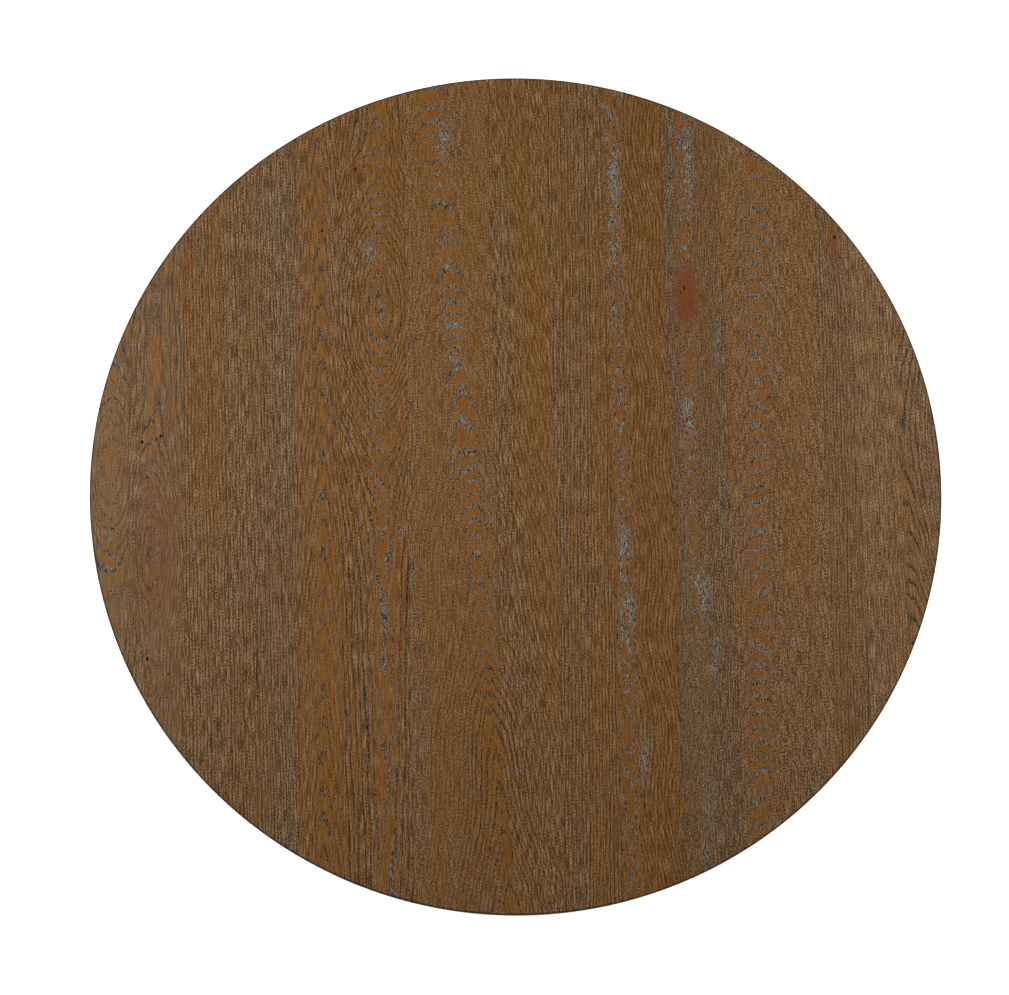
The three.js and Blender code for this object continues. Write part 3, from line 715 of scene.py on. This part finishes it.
def give_bake_map(bm, left, right, reach):
    """A map named OFBake that stretches the upper face across the grain, so that baking keeps fine grain."""
    layer = bm.loops.layers.uv.new("OFBake")
    bm.normal_update()

    def put(strip, share):
        return strip[0] + (strip[1] - strip[0]) * min(1.0, max(0.0, share))

    for face in bm.faces:
        up = face.normal.z
        middle = face.calc_center_median()
        for loop in face.loops:
            co = loop.vert.co
            along = BAKE_MARGIN + (1 - 2 * BAKE_MARGIN) * (co.y + reach) / (2 * reach)
            across = (co.x - left) / (right - left)
            deep = (co.z - TOP_BASE) / (TOP_Z - TOP_BASE)
            if len(face.verts) > 4 and up > 0.9:
                u = put(BAKE_TOP, across)
            elif len(face.verts) > 4 and up < -0.9:
                u = put(BAKE_BASE, across)
            elif abs(face.normal.x) > 0.999 and middle.x < (left + right) / 2:
                u = put(BAKE_SIDES[0], deep)
            elif abs(face.normal.x) > 0.999:
                u = put(BAKE_SIDES[1], deep)
            else:
                # one end of the board in each half of the strip
                u = put(BAKE_RIM, deep)
                half = 0.5 if middle.y < 0 else 0.0
                along = BAKE_MARGIN + half + BAKE_END * across
            loop[layer].uv = (u, along)


# places across and along the board are shares of the top's radius, and other sizes are in metres
ARCHES_7_8 = dict(heart=-0.109, drift=-0.077, sunk=0.028, dip=0.045, tilt=0.19, wave=(0.006, 3.1, 0.5),
                  ring=8 * MM)
BOARD_LOOKS = [
    dict(heart=-0.95, sunk=0.035, tilt=-0.03, ring=12 * MM, width=16 * MM, curl=6 * MM, warmth=-0.3,
         liming=0.9, lines=0.7, value=1.08,
         knots=[(-0.95, 0.06, 0.05, 0.14, -0.09, 0.0), (-0.913, 0.044, 0.005, 0.012, 0, 0.6)]),
    dict(heart=-0.85, sunk=0.02, tilt=0.02, ring=9 * MM, width=8 * MM, curl=6 * MM, warmth=0.0, liming=0.6,
         lines=0.7, value=1.02,
         knots=[(-0.86, -0.16, 0.06, 0.15, -0.08, 0.3), (-0.87, -0.45, 0.04, 0.06, -0.04, 0.0)],
         patches=[(-0.84, -0.15, 0.007, 0.04, 0.9), (-0.895, -0.11, 0.005, 0.06, 0.9)],
         holes=[(-0.877, 0.115, 3 * MM, 4 * MM), (-0.833, 0.128, 3 * MM, 4 * MM),
                (-0.862, -0.398, 3 * MM, 4 * MM), (-0.814, -0.434, 2 * MM, 2.5 * MM)]),
    dict(heart=-1.1, tilt=0.02, ring=6 * MM, warmth=0.32, liming=0.4, fleck=1.05, streak=0.45),
    dict(heart=-1.0, tilt=0.02, ring=5.5 * MM, warmth=0.1, liming=0.5, fleck=1.05, streak=0.45),
    dict(heart=-0.455, sunk=0.008, tilt=0.12, ring=7 * MM, width=13 * MM, warmth=0.5, liming=0.4, fleck=0.9,
         lines=0.6, value=0.97),
    dict(heart=-0.315, sunk=0.012, tilt=-0.03, ring=9 * MM, width=20 * MM, warmth=0.6, liming=0.8,
         fleck=0.9, value=0.96,
         knots=[(-0.315, 0.42, 0.2, 0.22, -0.14, 0.0), (-0.368, 0.767, 0.015, 0.03, -0.02, 0.5)],
         patches=[(-0.34, 0.57, 0.012, 0.03, 0.8), (-0.273, -0.11, 0.006, 0.02, 0.8)],
         holes=[(-0.37, 0.775, 2 * MM, 5 * MM)]),
    dict(ARCHES_7_8, width=24 * MM, warmth=0.45, liming=1.0, fleck=0.95, streak=0.35, lines=0.35, value=0.95,
         etched=[(-0.06, -0.72, 0.09, 0.38, 0.75)],
         patches=[(-0.07, -0.7, 0.06, 0.32, -0.95), (-0.155, 0.85, 0.010, 0.03, 0.6),
                  (-0.14, 0.384, 0.014, 0.008, 0.6), (-0.14, 0.31, 0.014, 0.008, 0.6)]),
    dict(ARCHES_7_8, width=12 * MM, warmth=0.55, liming=0.1, fleck=0.95, lines=0.6, value=0.94,
         knots=[(-0.037, -0.853, 0.008, 0.018, -0.012, 0.4)],
         etched=[(-0.04, -0.72, 0.07, 0.38, 0.4)]),
    dict(heart=0.5, tilt=0.02, ring=6 * MM, warmth=0.42, liming=0.3, fleck=1.0, streak=0.45, value=0.955),
    dict(heart=0.246, sunk=0.01, tilt=0.05, wave=(0.010, 3.3, 1.2), ring=6.5 * MM, width=18 * MM,
         warmth=0.75, liming=1.0, fleck=0.9, value=0.87,
         knots=[(0.24, 0.42, 0.02, 0.05, -0.03, 0.0)],
         patches=[(0.25, 0.75, 0.008, 0.05, 0.9), (0.25, -0.15, 0.01, 0.03, 0.8),
                  (0.255, -0.29, 0.01, 0.03, 0.8), (0.28, -0.65, 0.008, 0.04, 0.7)]),
    dict(heart=0.415, sunk=0.012, tilt=0.05, wave=(0.010, 3.5, 0.3), ring=4.5 * MM, width=16 * MM,
         curl=4 * MM, warmth=0.12, liming=0.9, fleck=0.95, streak=0.4, value=0.86,
         knots=[(0.414, 0.443, 0.025, 0.068, -0.05, 0.85), (0.40, -0.626, 0.022, 0.04, -0.04, 0.0),
                (0.381, -0.45, 0.03, 0.04, -0.04, 0.0)],
         patches=[(0.433, 0.78, 0.008, 0.07, 0.9), (0.484, 0.33, 0.006, 0.04, 0.7),
                  (0.41, 0.15, 0.008, 0.05, 0.7), (0.433, -0.27, 0.012, 0.045, 0.8),
                  (0.455, -0.42, 0.008, 0.05, 0.6), (0.43, -0.75, 0.015, 0.06, 0.4)],
         holes=[(0.41, 0.465, 2 * MM, 5 * MM), (0.402, 0.455, 1.5 * MM, 3 * MM)]),
    dict(heart=0.57, drift=0.03, sunk=0.025, tilt=0.3, wave=(0.006, 2.3, 0.0), ring=10 * MM, width=26 * MM,
         warmth=0.42, liming=0.9, fleck=1.15, streak=0.35, lines=0.4, value=0.885),
    dict(heart=1.1, tilt=0.02, ring=6 * MM, warmth=0.1, liming=0.4, fleck=1.05, streak=0.4, value=0.93,
         knots=[(0.775, 0.57, 0.015, 0.05, -0.02, 0.4)],
         holes=[(0.775, 0.585, 3 * MM, 4 * MM)]),
    dict(heart=0.62, tilt=0.02, ring=5.5 * MM, warmth=0.1, liming=0.3, fleck=1.1, streak=0.45, lines=0.7,
         value=1.06),
    dict(heart=0.90, sunk=0.05, tilt=0.02, wave=(0.02, 1.1, 1.3), ring=5 * MM, width=10 * MM, warmth=0.02,
         liming=0.5, fleck=1.05, streak=0.4, value=0.97),
]


def placed_looks(looks):
    """A board's looks with its places in metres, and its depth measured down from the upper face."""
    placed = dict(looks, heart=looks["heart"] * TOP_RADIUS, sunk=looks.get("sunk", 8 * MM) - TOP_Z)
    for kind in ("knots", "etched", "patches", "holes"):
        placed[kind] = [(x * TOP_RADIUS, y * TOP_RADIUS, *rest) for x, y, *rest in looks.get(kind, ())]
    return placed


def add_planks():
    for i, looks in enumerate(BOARD_LOOKS):
        name = f"top_plank_{i + 1:02d}"
        low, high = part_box(name)
        # every board gets painted shade near the top's rounded edge
        wood = oak(f"oak_board_{i + 1:02d}", X, Y, Z, shift=1.7 * i + 0.6, painted_rim_shade=True, **placed_looks(looks))
        finish_mesh(name, plank_bmesh(low.x, high.x), wood)


# ---- battens and bearers
RAIL_LOOKS = dict(ring=5 * MM, liming=0.3, fleck=0.65, value=0.88)
BASE_LOOKS = dict(ring=6 * MM, warmth=0.42, liming=0.6, fleck=0.65, value=0.95)


def rail(half, width, base, holes, extra=()):
    """A rail along X with tapered ends and eased edges, and holes (x, seat height, travel) cut into it."""
    height = FRAME_TOP - base
    end = FRAME_TOP - height * END_DEPTH_SHARE
    right = [(half - END_TAPER, base), (half, end), (half, FRAME_TOP)]
    left = [(-x, z) for x, z in reversed(right)]
    body = prism(left + right, -width / 2, width / 2)
    rotated(body, math.pi / 2, "X")
    sharp = [edge for edge in body.edges if edge.calc_face_angle(0) > 0.2]
    bmesh.ops.bevel(body, geom=sharp, offset=RAIL_ROUND, segments=3, profile=0.5, affect="EDGES")
    tools = list(extra)
    for x, seat, travel in holes:
        tools.append(prism(stadium(x, 0, travel, SCREW_RADIUS + GAP), seat - MM, FRAME_TOP + OVERCUT))
        tools.append(prism(stadium(x, 0, travel, SCREW_HEAD_RADIUS + HEAD_CLEARANCE), base - OVERCUT, seat))
    return combine(body, tools)


def screw_holes(prefix, count, axis):
    """Where the screws of a rail are, from their CAD nodes. The outer ones across the grain are slotted."""
    holes = []
    for i in range(count):
        low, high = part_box(f"{prefix}_{i + 1}")
        place = (low + high) / 2
        slotted = axis == 0 and i in (0, count - 1)
        holes.append((place[axis], low.z + SCREW_HEAD_HEIGHT + GAP, SLOT_TRAVEL if slotted else 0.0))
    return holes


def rod_hole():
    return prism(circle(0, 0, ROD_RADIUS + GAP), BEARER_BASE - OVERCUT, FRAME_TOP + OVERCUT)


def add_rails():
    for side in ("front", "back"):
        low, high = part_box(f"batten_{side}")
        wood = oak(f"oak_batten_{side}", Y, X, Z, heart=0.2, sunk=-0.7, tilt=0.03, warmth=0.42,
                   shift=30 + low.y, **RAIL_LOOKS)
        body = rail(high.x, high.y - low.y, low.z, screw_holes(f"batten_{side}_screw", 3, 0))
        finish_mesh(f"batten_{side}", moved(body, y=(low.y + high.y) / 2), wood)
    lap = (BEARER_BASE + FRAME_TOP) / 2
    notch = BEARER_HALF + GAP
    upper = box_bm(-notch, notch, -notch, notch, lap - GAP / 2, FRAME_TOP + OVERCUT)
    low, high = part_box("bearer_across")
    wood = oak("oak_bearer_across", Y, X, Z, heart=-0.01, sunk=-0.65, tilt=0.05, warmth=0.45, shift=41.0,
               **RAIL_LOOKS)
    holes = screw_holes("bearer_across_screw", 4, 0)
    body = rail(high.x, 2 * BEARER_HALF, low.z, holes, [upper, rod_hole()])
    finish_mesh("bearer_across", body, wood)
    recess = prism(circle(0, 0, ROD_RECESS_RADIUS), FRAME_TOP - ROD_RECESS_DEPTH, FRAME_TOP + OVERCUT)
    lower = box_bm(-notch, notch, -notch, notch, BEARER_BASE - OVERCUT, lap + GAP / 2)
    low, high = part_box("bearer_along")
    wood = oak("oak_bearer_along", X, Y, Z, heart=0.03, sunk=-0.68, tilt=0.04, warmth=0.4, shift=47.0,
               **RAIL_LOOKS)
    holes = screw_holes("bearer_along_screw", 4, 1)
    body = rail(high.y, 2 * BEARER_HALF, low.z, holes, [lower, rod_hole(), recess])
    finish_mesh("bearer_along", rotated(body, math.pi / 2), wood)


# ---- column
def dovetail(clearance, outer):
    """The plan of a leg's tongue, or with clearance of its socket, from its wide end out to a radius."""
    inner = DRUM_RADIUS - DOVETAIL_DEPTH - clearance
    slope = DOVETAIL_FLARE / DOVETAIL_DEPTH

    def half(radius):
        return DOVETAIL_NECK / 2 + (DRUM_RADIUS - radius) * slope + clearance

    return [(inner, -half(inner)), (outer, -half(outer)), (outer, half(outer)), (inner, half(inner))]


def add_column():
    base, top = COLUMN_LOW.z, COLUMN_HIGH.z
    drum_top = LEG_TOP + DRUM_RISE
    vase_base = drum_top + 3 * BEAD_RADIUS
    capital = top - CAPITAL_HEIGHT
    bead_top = capital - CAPITAL_FLARE
    neck = bead_top - 2 * NECK_BEAD
    belly = vase_base + (neck - vase_base) * BELLY_SHARE
    bore = ROD_RADIUS + GAP
    ease = 1.5 * MM
    # a short neck above the bead, which turns in to the foot of the vase
    neck_radius, neck_base = VASE_FOOT + 10 * MM, drum_top + 2 * BEAD_RADIUS
    outline = [
        (bore, base),
        *arc(DRUM_RADIUS - ease, base + ease, ease, -90, 0, 3),
        *arc(DRUM_RADIUS - ease, drum_top - ease / 3, ease, 0, 60, 2),
        *arc(DRUM_RADIUS, drum_top + BEAD_RADIUS, BEAD_RADIUS, -84, 84, 16),
        (neck_radius, neck_base),
        (neck_radius, neck_base + 2 * MM),
        *bezier(
            (neck_radius, neck_base + 2 * MM),
            (VASE_FOOT, neck_base + 3 * MM),
            (VASE_FOOT, vase_base - 5 * MM),
            (VASE_FOOT, vase_base),
            6,
        ),
        *swell((VASE_FOOT, vase_base), (VASE_BELLY, belly), 18),
        *swell((VASE_BELLY, belly), (VASE_NECK, neck), 26),
        *arc(VASE_NECK, neck + NECK_BEAD, NECK_BEAD, -80, 80, 12),
        *arc(CAPITAL_RADIUS - CAPITAL_LIP, bead_top, CAPITAL_FLARE, 180, 92, 14),
        (CAPITAL_RADIUS - CAPITAL_LIP, capital),
        *arc(CAPITAL_RADIUS - ease, capital + ease, ease, -90, 0, 3),
        *arc(CAPITAL_RADIUS - ease, top - ease, ease, 0, 90, 3),
        (bore, top),
    ]
    sockets = []
    plan = dovetail(GAP, DRUM_RADIUS + OVERCUT)
    for angle in LEG_ANGLES:
        socket = prism(plan, base - OVERCUT, LEG_TOP - DOVETAIL_STOP + GAP)
        sockets.append(rotated(socket, angle))
    wood = oak("oak_column", X, Z, Y, heart=0.012, sunk=0.02, tilt=0.03, shift=61.0, **BASE_LOOKS)
    finish_mesh("column", combine(turned(outline, 96), sockets), wood)


# ---- legs
ARCH_STEPS, TOE_STEPS, TOE_TOP_STEPS, INSTEP_STEPS = 30, 12, 6, 34
LEG_GRAIN_SLOPE = math.radians(38)


def leg_outline():
    """The side of a leg in (radius, z), with fine curves."""
    inner = DRUM_RADIUS / 2
    flat = SPIDER_REACH + OVERCUT
    heel, toe = GLIDE_R - FOOT_HALF, GLIDE_R + FOOT_HALF
    knee = DRUM_RADIUS + KNEE_SETBACK
    toe_top = FOOT_Z + TOE_HEIGHT

    def quadratic(p0, p1, p2, steps):
        c1 = tuple(a + (b - a) * 2 / 3 for a, b in zip(p0, p1))
        c2 = tuple(a + (b - a) * 2 / 3 for a, b in zip(p2, p1))
        return bezier(p0, c1, c2, p2, steps)

    points = [(inner, LEG_BASE), (flat, LEG_BASE)]
    arch, rise = (flat + ARCH_HANDLE, LEG_BASE), (heel - HEEL_HANDLE, FOOT_Z + HEEL_HANDLE / 5)
    points += bezier(points[-1], arch, rise, (heel, FOOT_Z), ARCH_STEPS)
    points += [(toe, FOOT_Z)]
    nose, brow = (toe + TOE_BULGE, FOOT_Z + TOE_HEIGHT / 2), (toe, toe_top - TOE_BULGE / 2)
    points += quadratic(points[-1], nose, brow, TOE_STEPS)
    points += quadratic(points[-1], (toe - TOE_BULGE / 2, toe_top), (toe - TOE_BULGE, toe_top), TOE_TOP_STEPS)
    instep, shin = (toe - INSTEP_HANDLE, toe_top), (knee + KNEE_HANDLE, LEG_TOP - KNEE_HANDLE)
    points += bezier(points[-1], instep, shin, (knee, LEG_TOP), INSTEP_STEPS)
    points += [(inner, LEG_TOP)]
    return points


def leg_bmesh():
    """A leg along +X: coped round the drum, with its tongue, and bored for its insert, stem and screw."""
    half = LEG_WIDTH / 2
    blank = rotated(prism(leg_outline(), -half, half, LEG_ROUND, 5), math.pi / 2, "X")
    cope = prism(circle(0, 0, DRUM_RADIUS + GAP, 96), LEG_BASE - OVERCUT, LEG_TOP + OVERCUT)
    coped = combine(blank, [cope])
    tongue = prism(dovetail(0, DRUM_RADIUS + OVERCUT), LEG_BASE + 0.02 * MM, LEG_TOP - DOVETAIL_STOP)
    joined = combine(coped, [tongue], "UNION")
    below = FOOT_Z - OVERCUT
    insert_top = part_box("glide_insert_1")[1].z
    stem_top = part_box("glide_stem_1")[1].z
    pilot_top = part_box("spider_screw_1")[1].z + MM
    flange = prism(circle(GLIDE_R, 0, INSERT_FLANGE_R + GAP), below, FOOT_Z + INSERT_FLANGE + GAP)
    socket = prism(circle(GLIDE_R, 0, INSERT_RADIUS + GAP), below, insert_top + GAP)
    bore = prism(circle(GLIDE_R, 0, STEM_RADIUS + GAP), below, stem_top + 3 * MM)
    pilot = prism(circle(SPIDER_SCREW_R, 0, SCREW_RADIUS + GAP), LEG_BASE - OVERCUT, pilot_top)
    return combine(joined, [flange, socket, bore, pilot])


def add_legs():
    pattern = leg_bmesh()
    for i, angle in enumerate(LEG_ANGLES):
        outward = Vector((*polar(1, angle), 0))
        aside = Vector((-math.sin(angle), math.cos(angle), 0))
        downward = Vector(Z) * math.sin(LEG_GRAIN_SLOPE)
        grain = (outward * math.cos(LEG_GRAIN_SLOPE) - downward).normalized()
        depth = grain.cross(aside)
        wood = oak(f"oak_leg_{i + 1}", aside, grain, depth, heart=0.05 - 0.03 * i, sunk=-0.02 * i, tilt=0.06,
                   shift=71.0 + 4.3 * i, **BASE_LOOKS)
        leg = rotated(pattern.copy(), angle)
        finish_mesh(f"leg_{i + 1}", leg, wood)
    pattern.free()


# ---- hardware
def screw_bmesh(length):
    """A screw that points up from z = 0 at the top of its head, with a hexagon socket."""
    crown = SCREW_HEAD_HEIGHT
    round_ = 1.2 * MM
    ease = 0.3 * MM
    shank = length * SCREW_SHANK_SHARE
    head = [
        (0, -crown),
        (SCREW_HEAD_RADIUS * 0.7, -crown),
        *arc(SCREW_HEAD_RADIUS - round_, -crown + round_, round_, -70, 0, 4),
        (SCREW_HEAD_RADIUS, -ease),
        (SCREW_HEAD_RADIUS - ease, 0),
        (SCREW_RADIUS, 0),
        (SCREW_RADIUS, shank),
        (0, shank),
    ]
    socket = prism(hexagon(SCREW_SOCKET_FLATS), -crown - MM, -crown + SCREW_SOCKET_DEPTH)
    bm = combine(turned(head, 32), [socket])
    tip = length - SCREW_TIP
    loops = threaded(SCREW_RADIUS, SCREW_PITCH, shank - 0.5 * MM, tip, SCREW_SIDES, 5, SCREW_THREAD_SHARE)
    core = SCREW_RADIUS - SCREW_PITCH * SCREW_THREAD_SHARE
    for share in (0.3, 0.6, 0.85, 0.97):
        z = tip + SCREW_TIP * share
        loops.append([(x, y, z) for x, y in circle(0, 0, core * (1 - share), SCREW_SIDES)])
    return combine(bm, [loops_to_bmesh(loops)], "UNION")


def add_screws(zinc):
    patterns = {}
    names = [f"batten_{side}_screw_{i}" for side in ("front", "back") for i in (1, 2, 3)]
    names += [f"bearer_{way}_screw_{i}" for way in ("across", "along") for i in (1, 2, 3, 4)]
    names += [f"spider_screw_{i}" for i in (1, 2, 3, 4)]
    for name in names:
        low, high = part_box(name)
        length = round(high.z - low.z - SCREW_HEAD_HEIGHT, 5)
        if length not in patterns:
            patterns[length] = screw_bmesh(length)
        place = (low + high) / 2
        finish_mesh(name, moved(patterns[length].copy(), place.x, place.y, low.z + SCREW_HEAD_HEIGHT), zinc)
    for pattern in patterns.values():
        pattern.free()


def chamfered_hex(flats, z0, z1, hole=0.0):
    """A hexagon whose corners are turned off at both ends, as on a nut."""
    corner = flats / math.sqrt(3)
    face = flats / 2 * 0.97
    drop = 0.9 * MM
    outline = [(0, z0), (face, z0), (corner, z0 + drop), (corner, z1 - drop), (face, z1), (0, z1)]
    cone = turned(outline, 48)
    bm = combine(prism(hexagon(flats), z0, z1), [cone], "INTERSECT")
    if hole:
        bm = combine(bm, [prism(circle(0, 0, hole, 40), z0 - OVERCUT, z1 + OVERCUT)])
    return bm


def add_tie_rod(zinc):
    low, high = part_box("tie_rod")
    # threaded at both ends, plain between
    end = 26 * MM
    lower = threaded(ROD_RADIUS, ROD_PITCH, low.z, low.z + end)
    upper = threaded(ROD_RADIUS, ROD_PITCH, high.z - end, high.z)
    finish_mesh("tie_rod", loops_to_bmesh(lower + upper), zinc)
    for place in ("upper", "lower"):
        low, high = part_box(f"tie_washer_{place}")
        ease = 0.3 * MM
        hole = ROD_RADIUS + GAP
        outline = [
            (hole, low.z),
            *arc(WASHER_RADIUS - ease, low.z + ease, ease, -90, 0, 3),
            *arc(WASHER_RADIUS - ease, high.z - ease, ease, 0, 90, 3),
            (hole, high.z),
        ]
        finish_mesh(f"tie_washer_{place}", turned(outline, 64), zinc)
        low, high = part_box(f"tie_nut_{place}")
        finish_mesh(f"tie_nut_{place}", chamfered_hex(NUT_FLATS, low.z, high.z, ROD_RADIUS + GAP), zinc)


def add_spider_plate(black):
    half = SPIDER_ARM / 2
    steps = 20
    points = []
    for angle in LEG_ANGLES:
        along = Vector(polar(1, angle))
        aside = Vector((-along.y, along.x))
        points.append(tuple(along * half - aside * half))
        centre = along * (SPIDER_REACH - half)
        turn = [angle - math.pi / 2 + math.pi * i / steps for i in range(steps + 1)]
        points += [polar(half, a, *centre) for a in turn]
    plate = prism(points, SPIDER_LOW.z, SPIDER_HIGH.z, 0.5 * MM, 2)
    through = (SPIDER_LOW.z - OVERCUT, SPIDER_HIGH.z + OVERCUT)
    tools = [prism(circle(0, 0, ROD_RADIUS + GAP), *through)]
    for angle in LEG_ANGLES:
        hole = circle(*polar(SPIDER_SCREW_R, angle), SCREW_RADIUS + GAP)
        tools.append(prism(hole, *through))
    finish_mesh("spider_plate", combine(plate, tools), black)


def insert_bmesh(low, high):
    """A ribbed brass sleeve with a flange below."""
    bore = STEM_RADIUS + GAP
    ease = 0.3 * MM
    flange_top = low.z + INSERT_FLANGE
    outline = [
        (bore, low.z),
        *arc(INSERT_FLANGE_R - ease, low.z + ease, ease, -90, 0, 3),
        (INSERT_FLANGE_R, flange_top),
        (INSERT_RADIUS, flange_top),
    ]
    ribs, groove = 6, 0.7 * MM
    for i in range(ribs):
        z = flange_top + (high.z - flange_top) * (i + 0.5) / ribs
        outline += [(INSERT_RADIUS, z), (INSERT_RADIUS - groove, z + groove), (INSERT_RADIUS, z + 1.4 * MM)]
    outline += [(INSERT_RADIUS - ease, high.z), (bore, high.z)]
    return turned(outline, 48)


def stem_bmesh(low, high, hex_base):
    """A pin, a hexagon to turn it by, and an M8 thread above."""
    hex_top = hex_base + STEM_HEX
    pin_top = hex_base + MM
    foot = [(0, low.z), (STEM_RADIUS - MM, low.z), (STEM_RADIUS, low.z + MM)]
    pin = turned([*foot, (STEM_RADIUS, pin_top), (0, pin_top)], 32)
    nut = chamfered_hex(STEM_FLATS, hex_base, hex_top)
    body = combine(nut, [pin], "UNION")
    thread = loops_to_bmesh(threaded(STEM_RADIUS, STEM_PITCH, hex_top - 0.5 * MM, high.z))
    return combine(body, [thread], "UNION")


def pad_bmesh(top):
    """A moulded foot: a softer sole ring below, a shouldered cap above and a socket for the pin."""
    socket = STEM_RADIUS + 0.5 * MM
    outline = [
        (0, 0),
        (PAD_RADIUS - SOLE_HEIGHT, 0),
        *arc(PAD_RADIUS - MM, MM, MM, -90, 0, 4),
        (PAD_RADIUS, SOLE_HEIGHT),
        (PAD_RADIUS - 0.5 * MM, 2.4 * MM),
        (PAD_RADIUS - 0.5 * MM, 2.8 * MM),
        (PAD_RADIUS, 3.0 * MM),
        *arc(PAD_RADIUS - MM, top / 2 - 0.6 * MM, MM, 0, 60, 4),
        (PAD_RADIUS - PAD_SHOULDER + MM, top - 0.5 * MM),
        (PAD_RADIUS - PAD_SHOULDER - MM, top),
        (socket + 0.4 * MM, top),
        (socket, top - 0.4 * MM),
        (socket, top - PAD_SOCKET_DEPTH),
        (0, top - PAD_SOCKET_DEPTH),
    ]
    return turned(outline, 64)


def add_glides(zinc, brass, nylon):
    insert_box, stem_box, pad_box = (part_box(f"glide_{part}_1") for part in ("insert", "stem", "pad"))
    hex_base = pad_box[1].z + GAP
    patterns = (
        ("insert", insert_bmesh(*insert_box), brass),
        ("stem", stem_bmesh(*stem_box, hex_base), zinc),
        ("pad", pad_bmesh(pad_box[1].z), nylon),
    )
    for i, angle in enumerate(LEG_ANGLES):
        for part, pattern, material in patterns:
            placed = rotated(pattern.copy(), angle)
            moved(placed, *polar(GLIDE_R, angle))
            name = f"glide_{part}_{i + 1}"
            body = "root" if part == "insert" else name
            finish_mesh(name, placed, material, body=body)
    for _, pattern, _ in patterns:
        pattern.free()


# ---- floor and light
FLOOR_RADIUS, FLOOR_DEPTH = 9.0, 0.02
FLOOR_WHITE, FLOOR_ROUGH, FLOOR_SPECULAR, FLOOR_GLOW = 0.86, 0.9, 0.1, 0.6


def add_floor():
    """A round white stage, bright enough to hide its own shadows."""
    floor = prism(circle(0, 0, FLOOR_RADIUS, 64), -FLOOR_DEPTH, 0.0)
    piece = mesh_object("floor", floor)
    paint, g, shader = new_material("floor_white")
    g.feed(shader["Base Color"], (FLOOR_WHITE, FLOOR_WHITE, FLOOR_WHITE, 1))
    g.feed(shader["Roughness"], FLOOR_ROUGH)
    g.feed(shader["Specular IOR Level"], FLOOR_SPECULAR)
    g.feed(shader["Emission Color"], (1, 1, 1, 1))
    g.feed(shader["Emission Strength"], FLOOR_GLOW)
    piece.data.materials.append(paint)


def add_light():
    world = bpy.data.worlds.new("studio")
    world.use_nodes = True
    surround = world.node_tree.nodes["Background"].inputs
    surround["Color"].default_value = (1, 1, 1, 1)
    surround["Strength"].default_value = WORLD_STRENGTH
    scene = bpy.context.scene
    scene.world = world
    add_lamp("left", -1, LEFT_POWER)
    add_lamp("right", 1, RIGHT_POWER)
    scene.view_settings.view_transform = "Standard"
    scene.view_settings.look = "None"


add_camera()
add_floor()
add_light()
zinc_steel = plain_material(
    "zinc_steel", srgb(176, 178, 180), metallic=1.0, base_rough=0.28, scratch=0.2,
    grain=(900, 900, 900), bump_depth=0.02 * MM)
black_steel = plain_material(
    "black_steel", srgb(34, 34, 36), metallic=0.0, base_rough=0.42, scratch=0.18,
    grain=(1400, 1400, 1400), bump_depth=0.05 * MM)
insert_brass = plain_material(
    "insert_brass", srgb(186, 150, 84), metallic=1.0, base_rough=0.3, scratch=0.2,
    grain=(400, 400, 3000), bump_depth=0.02 * MM)
pad_nylon = plain_material(
    "pad_nylon", srgb(30, 30, 32), metallic=0.0, base_rough=0.5, scratch=0.2,
    grain=(1800, 1800, 1800), bump_depth=0.04 * MM)
add_planks()
add_rails()
add_column()
add_legs()
add_screws(zinc_steel)
add_tie_rod(zinc_steel)
add_spider_plate(black_steel)
add_glides(zinc_steel, insert_brass, pad_nylon)
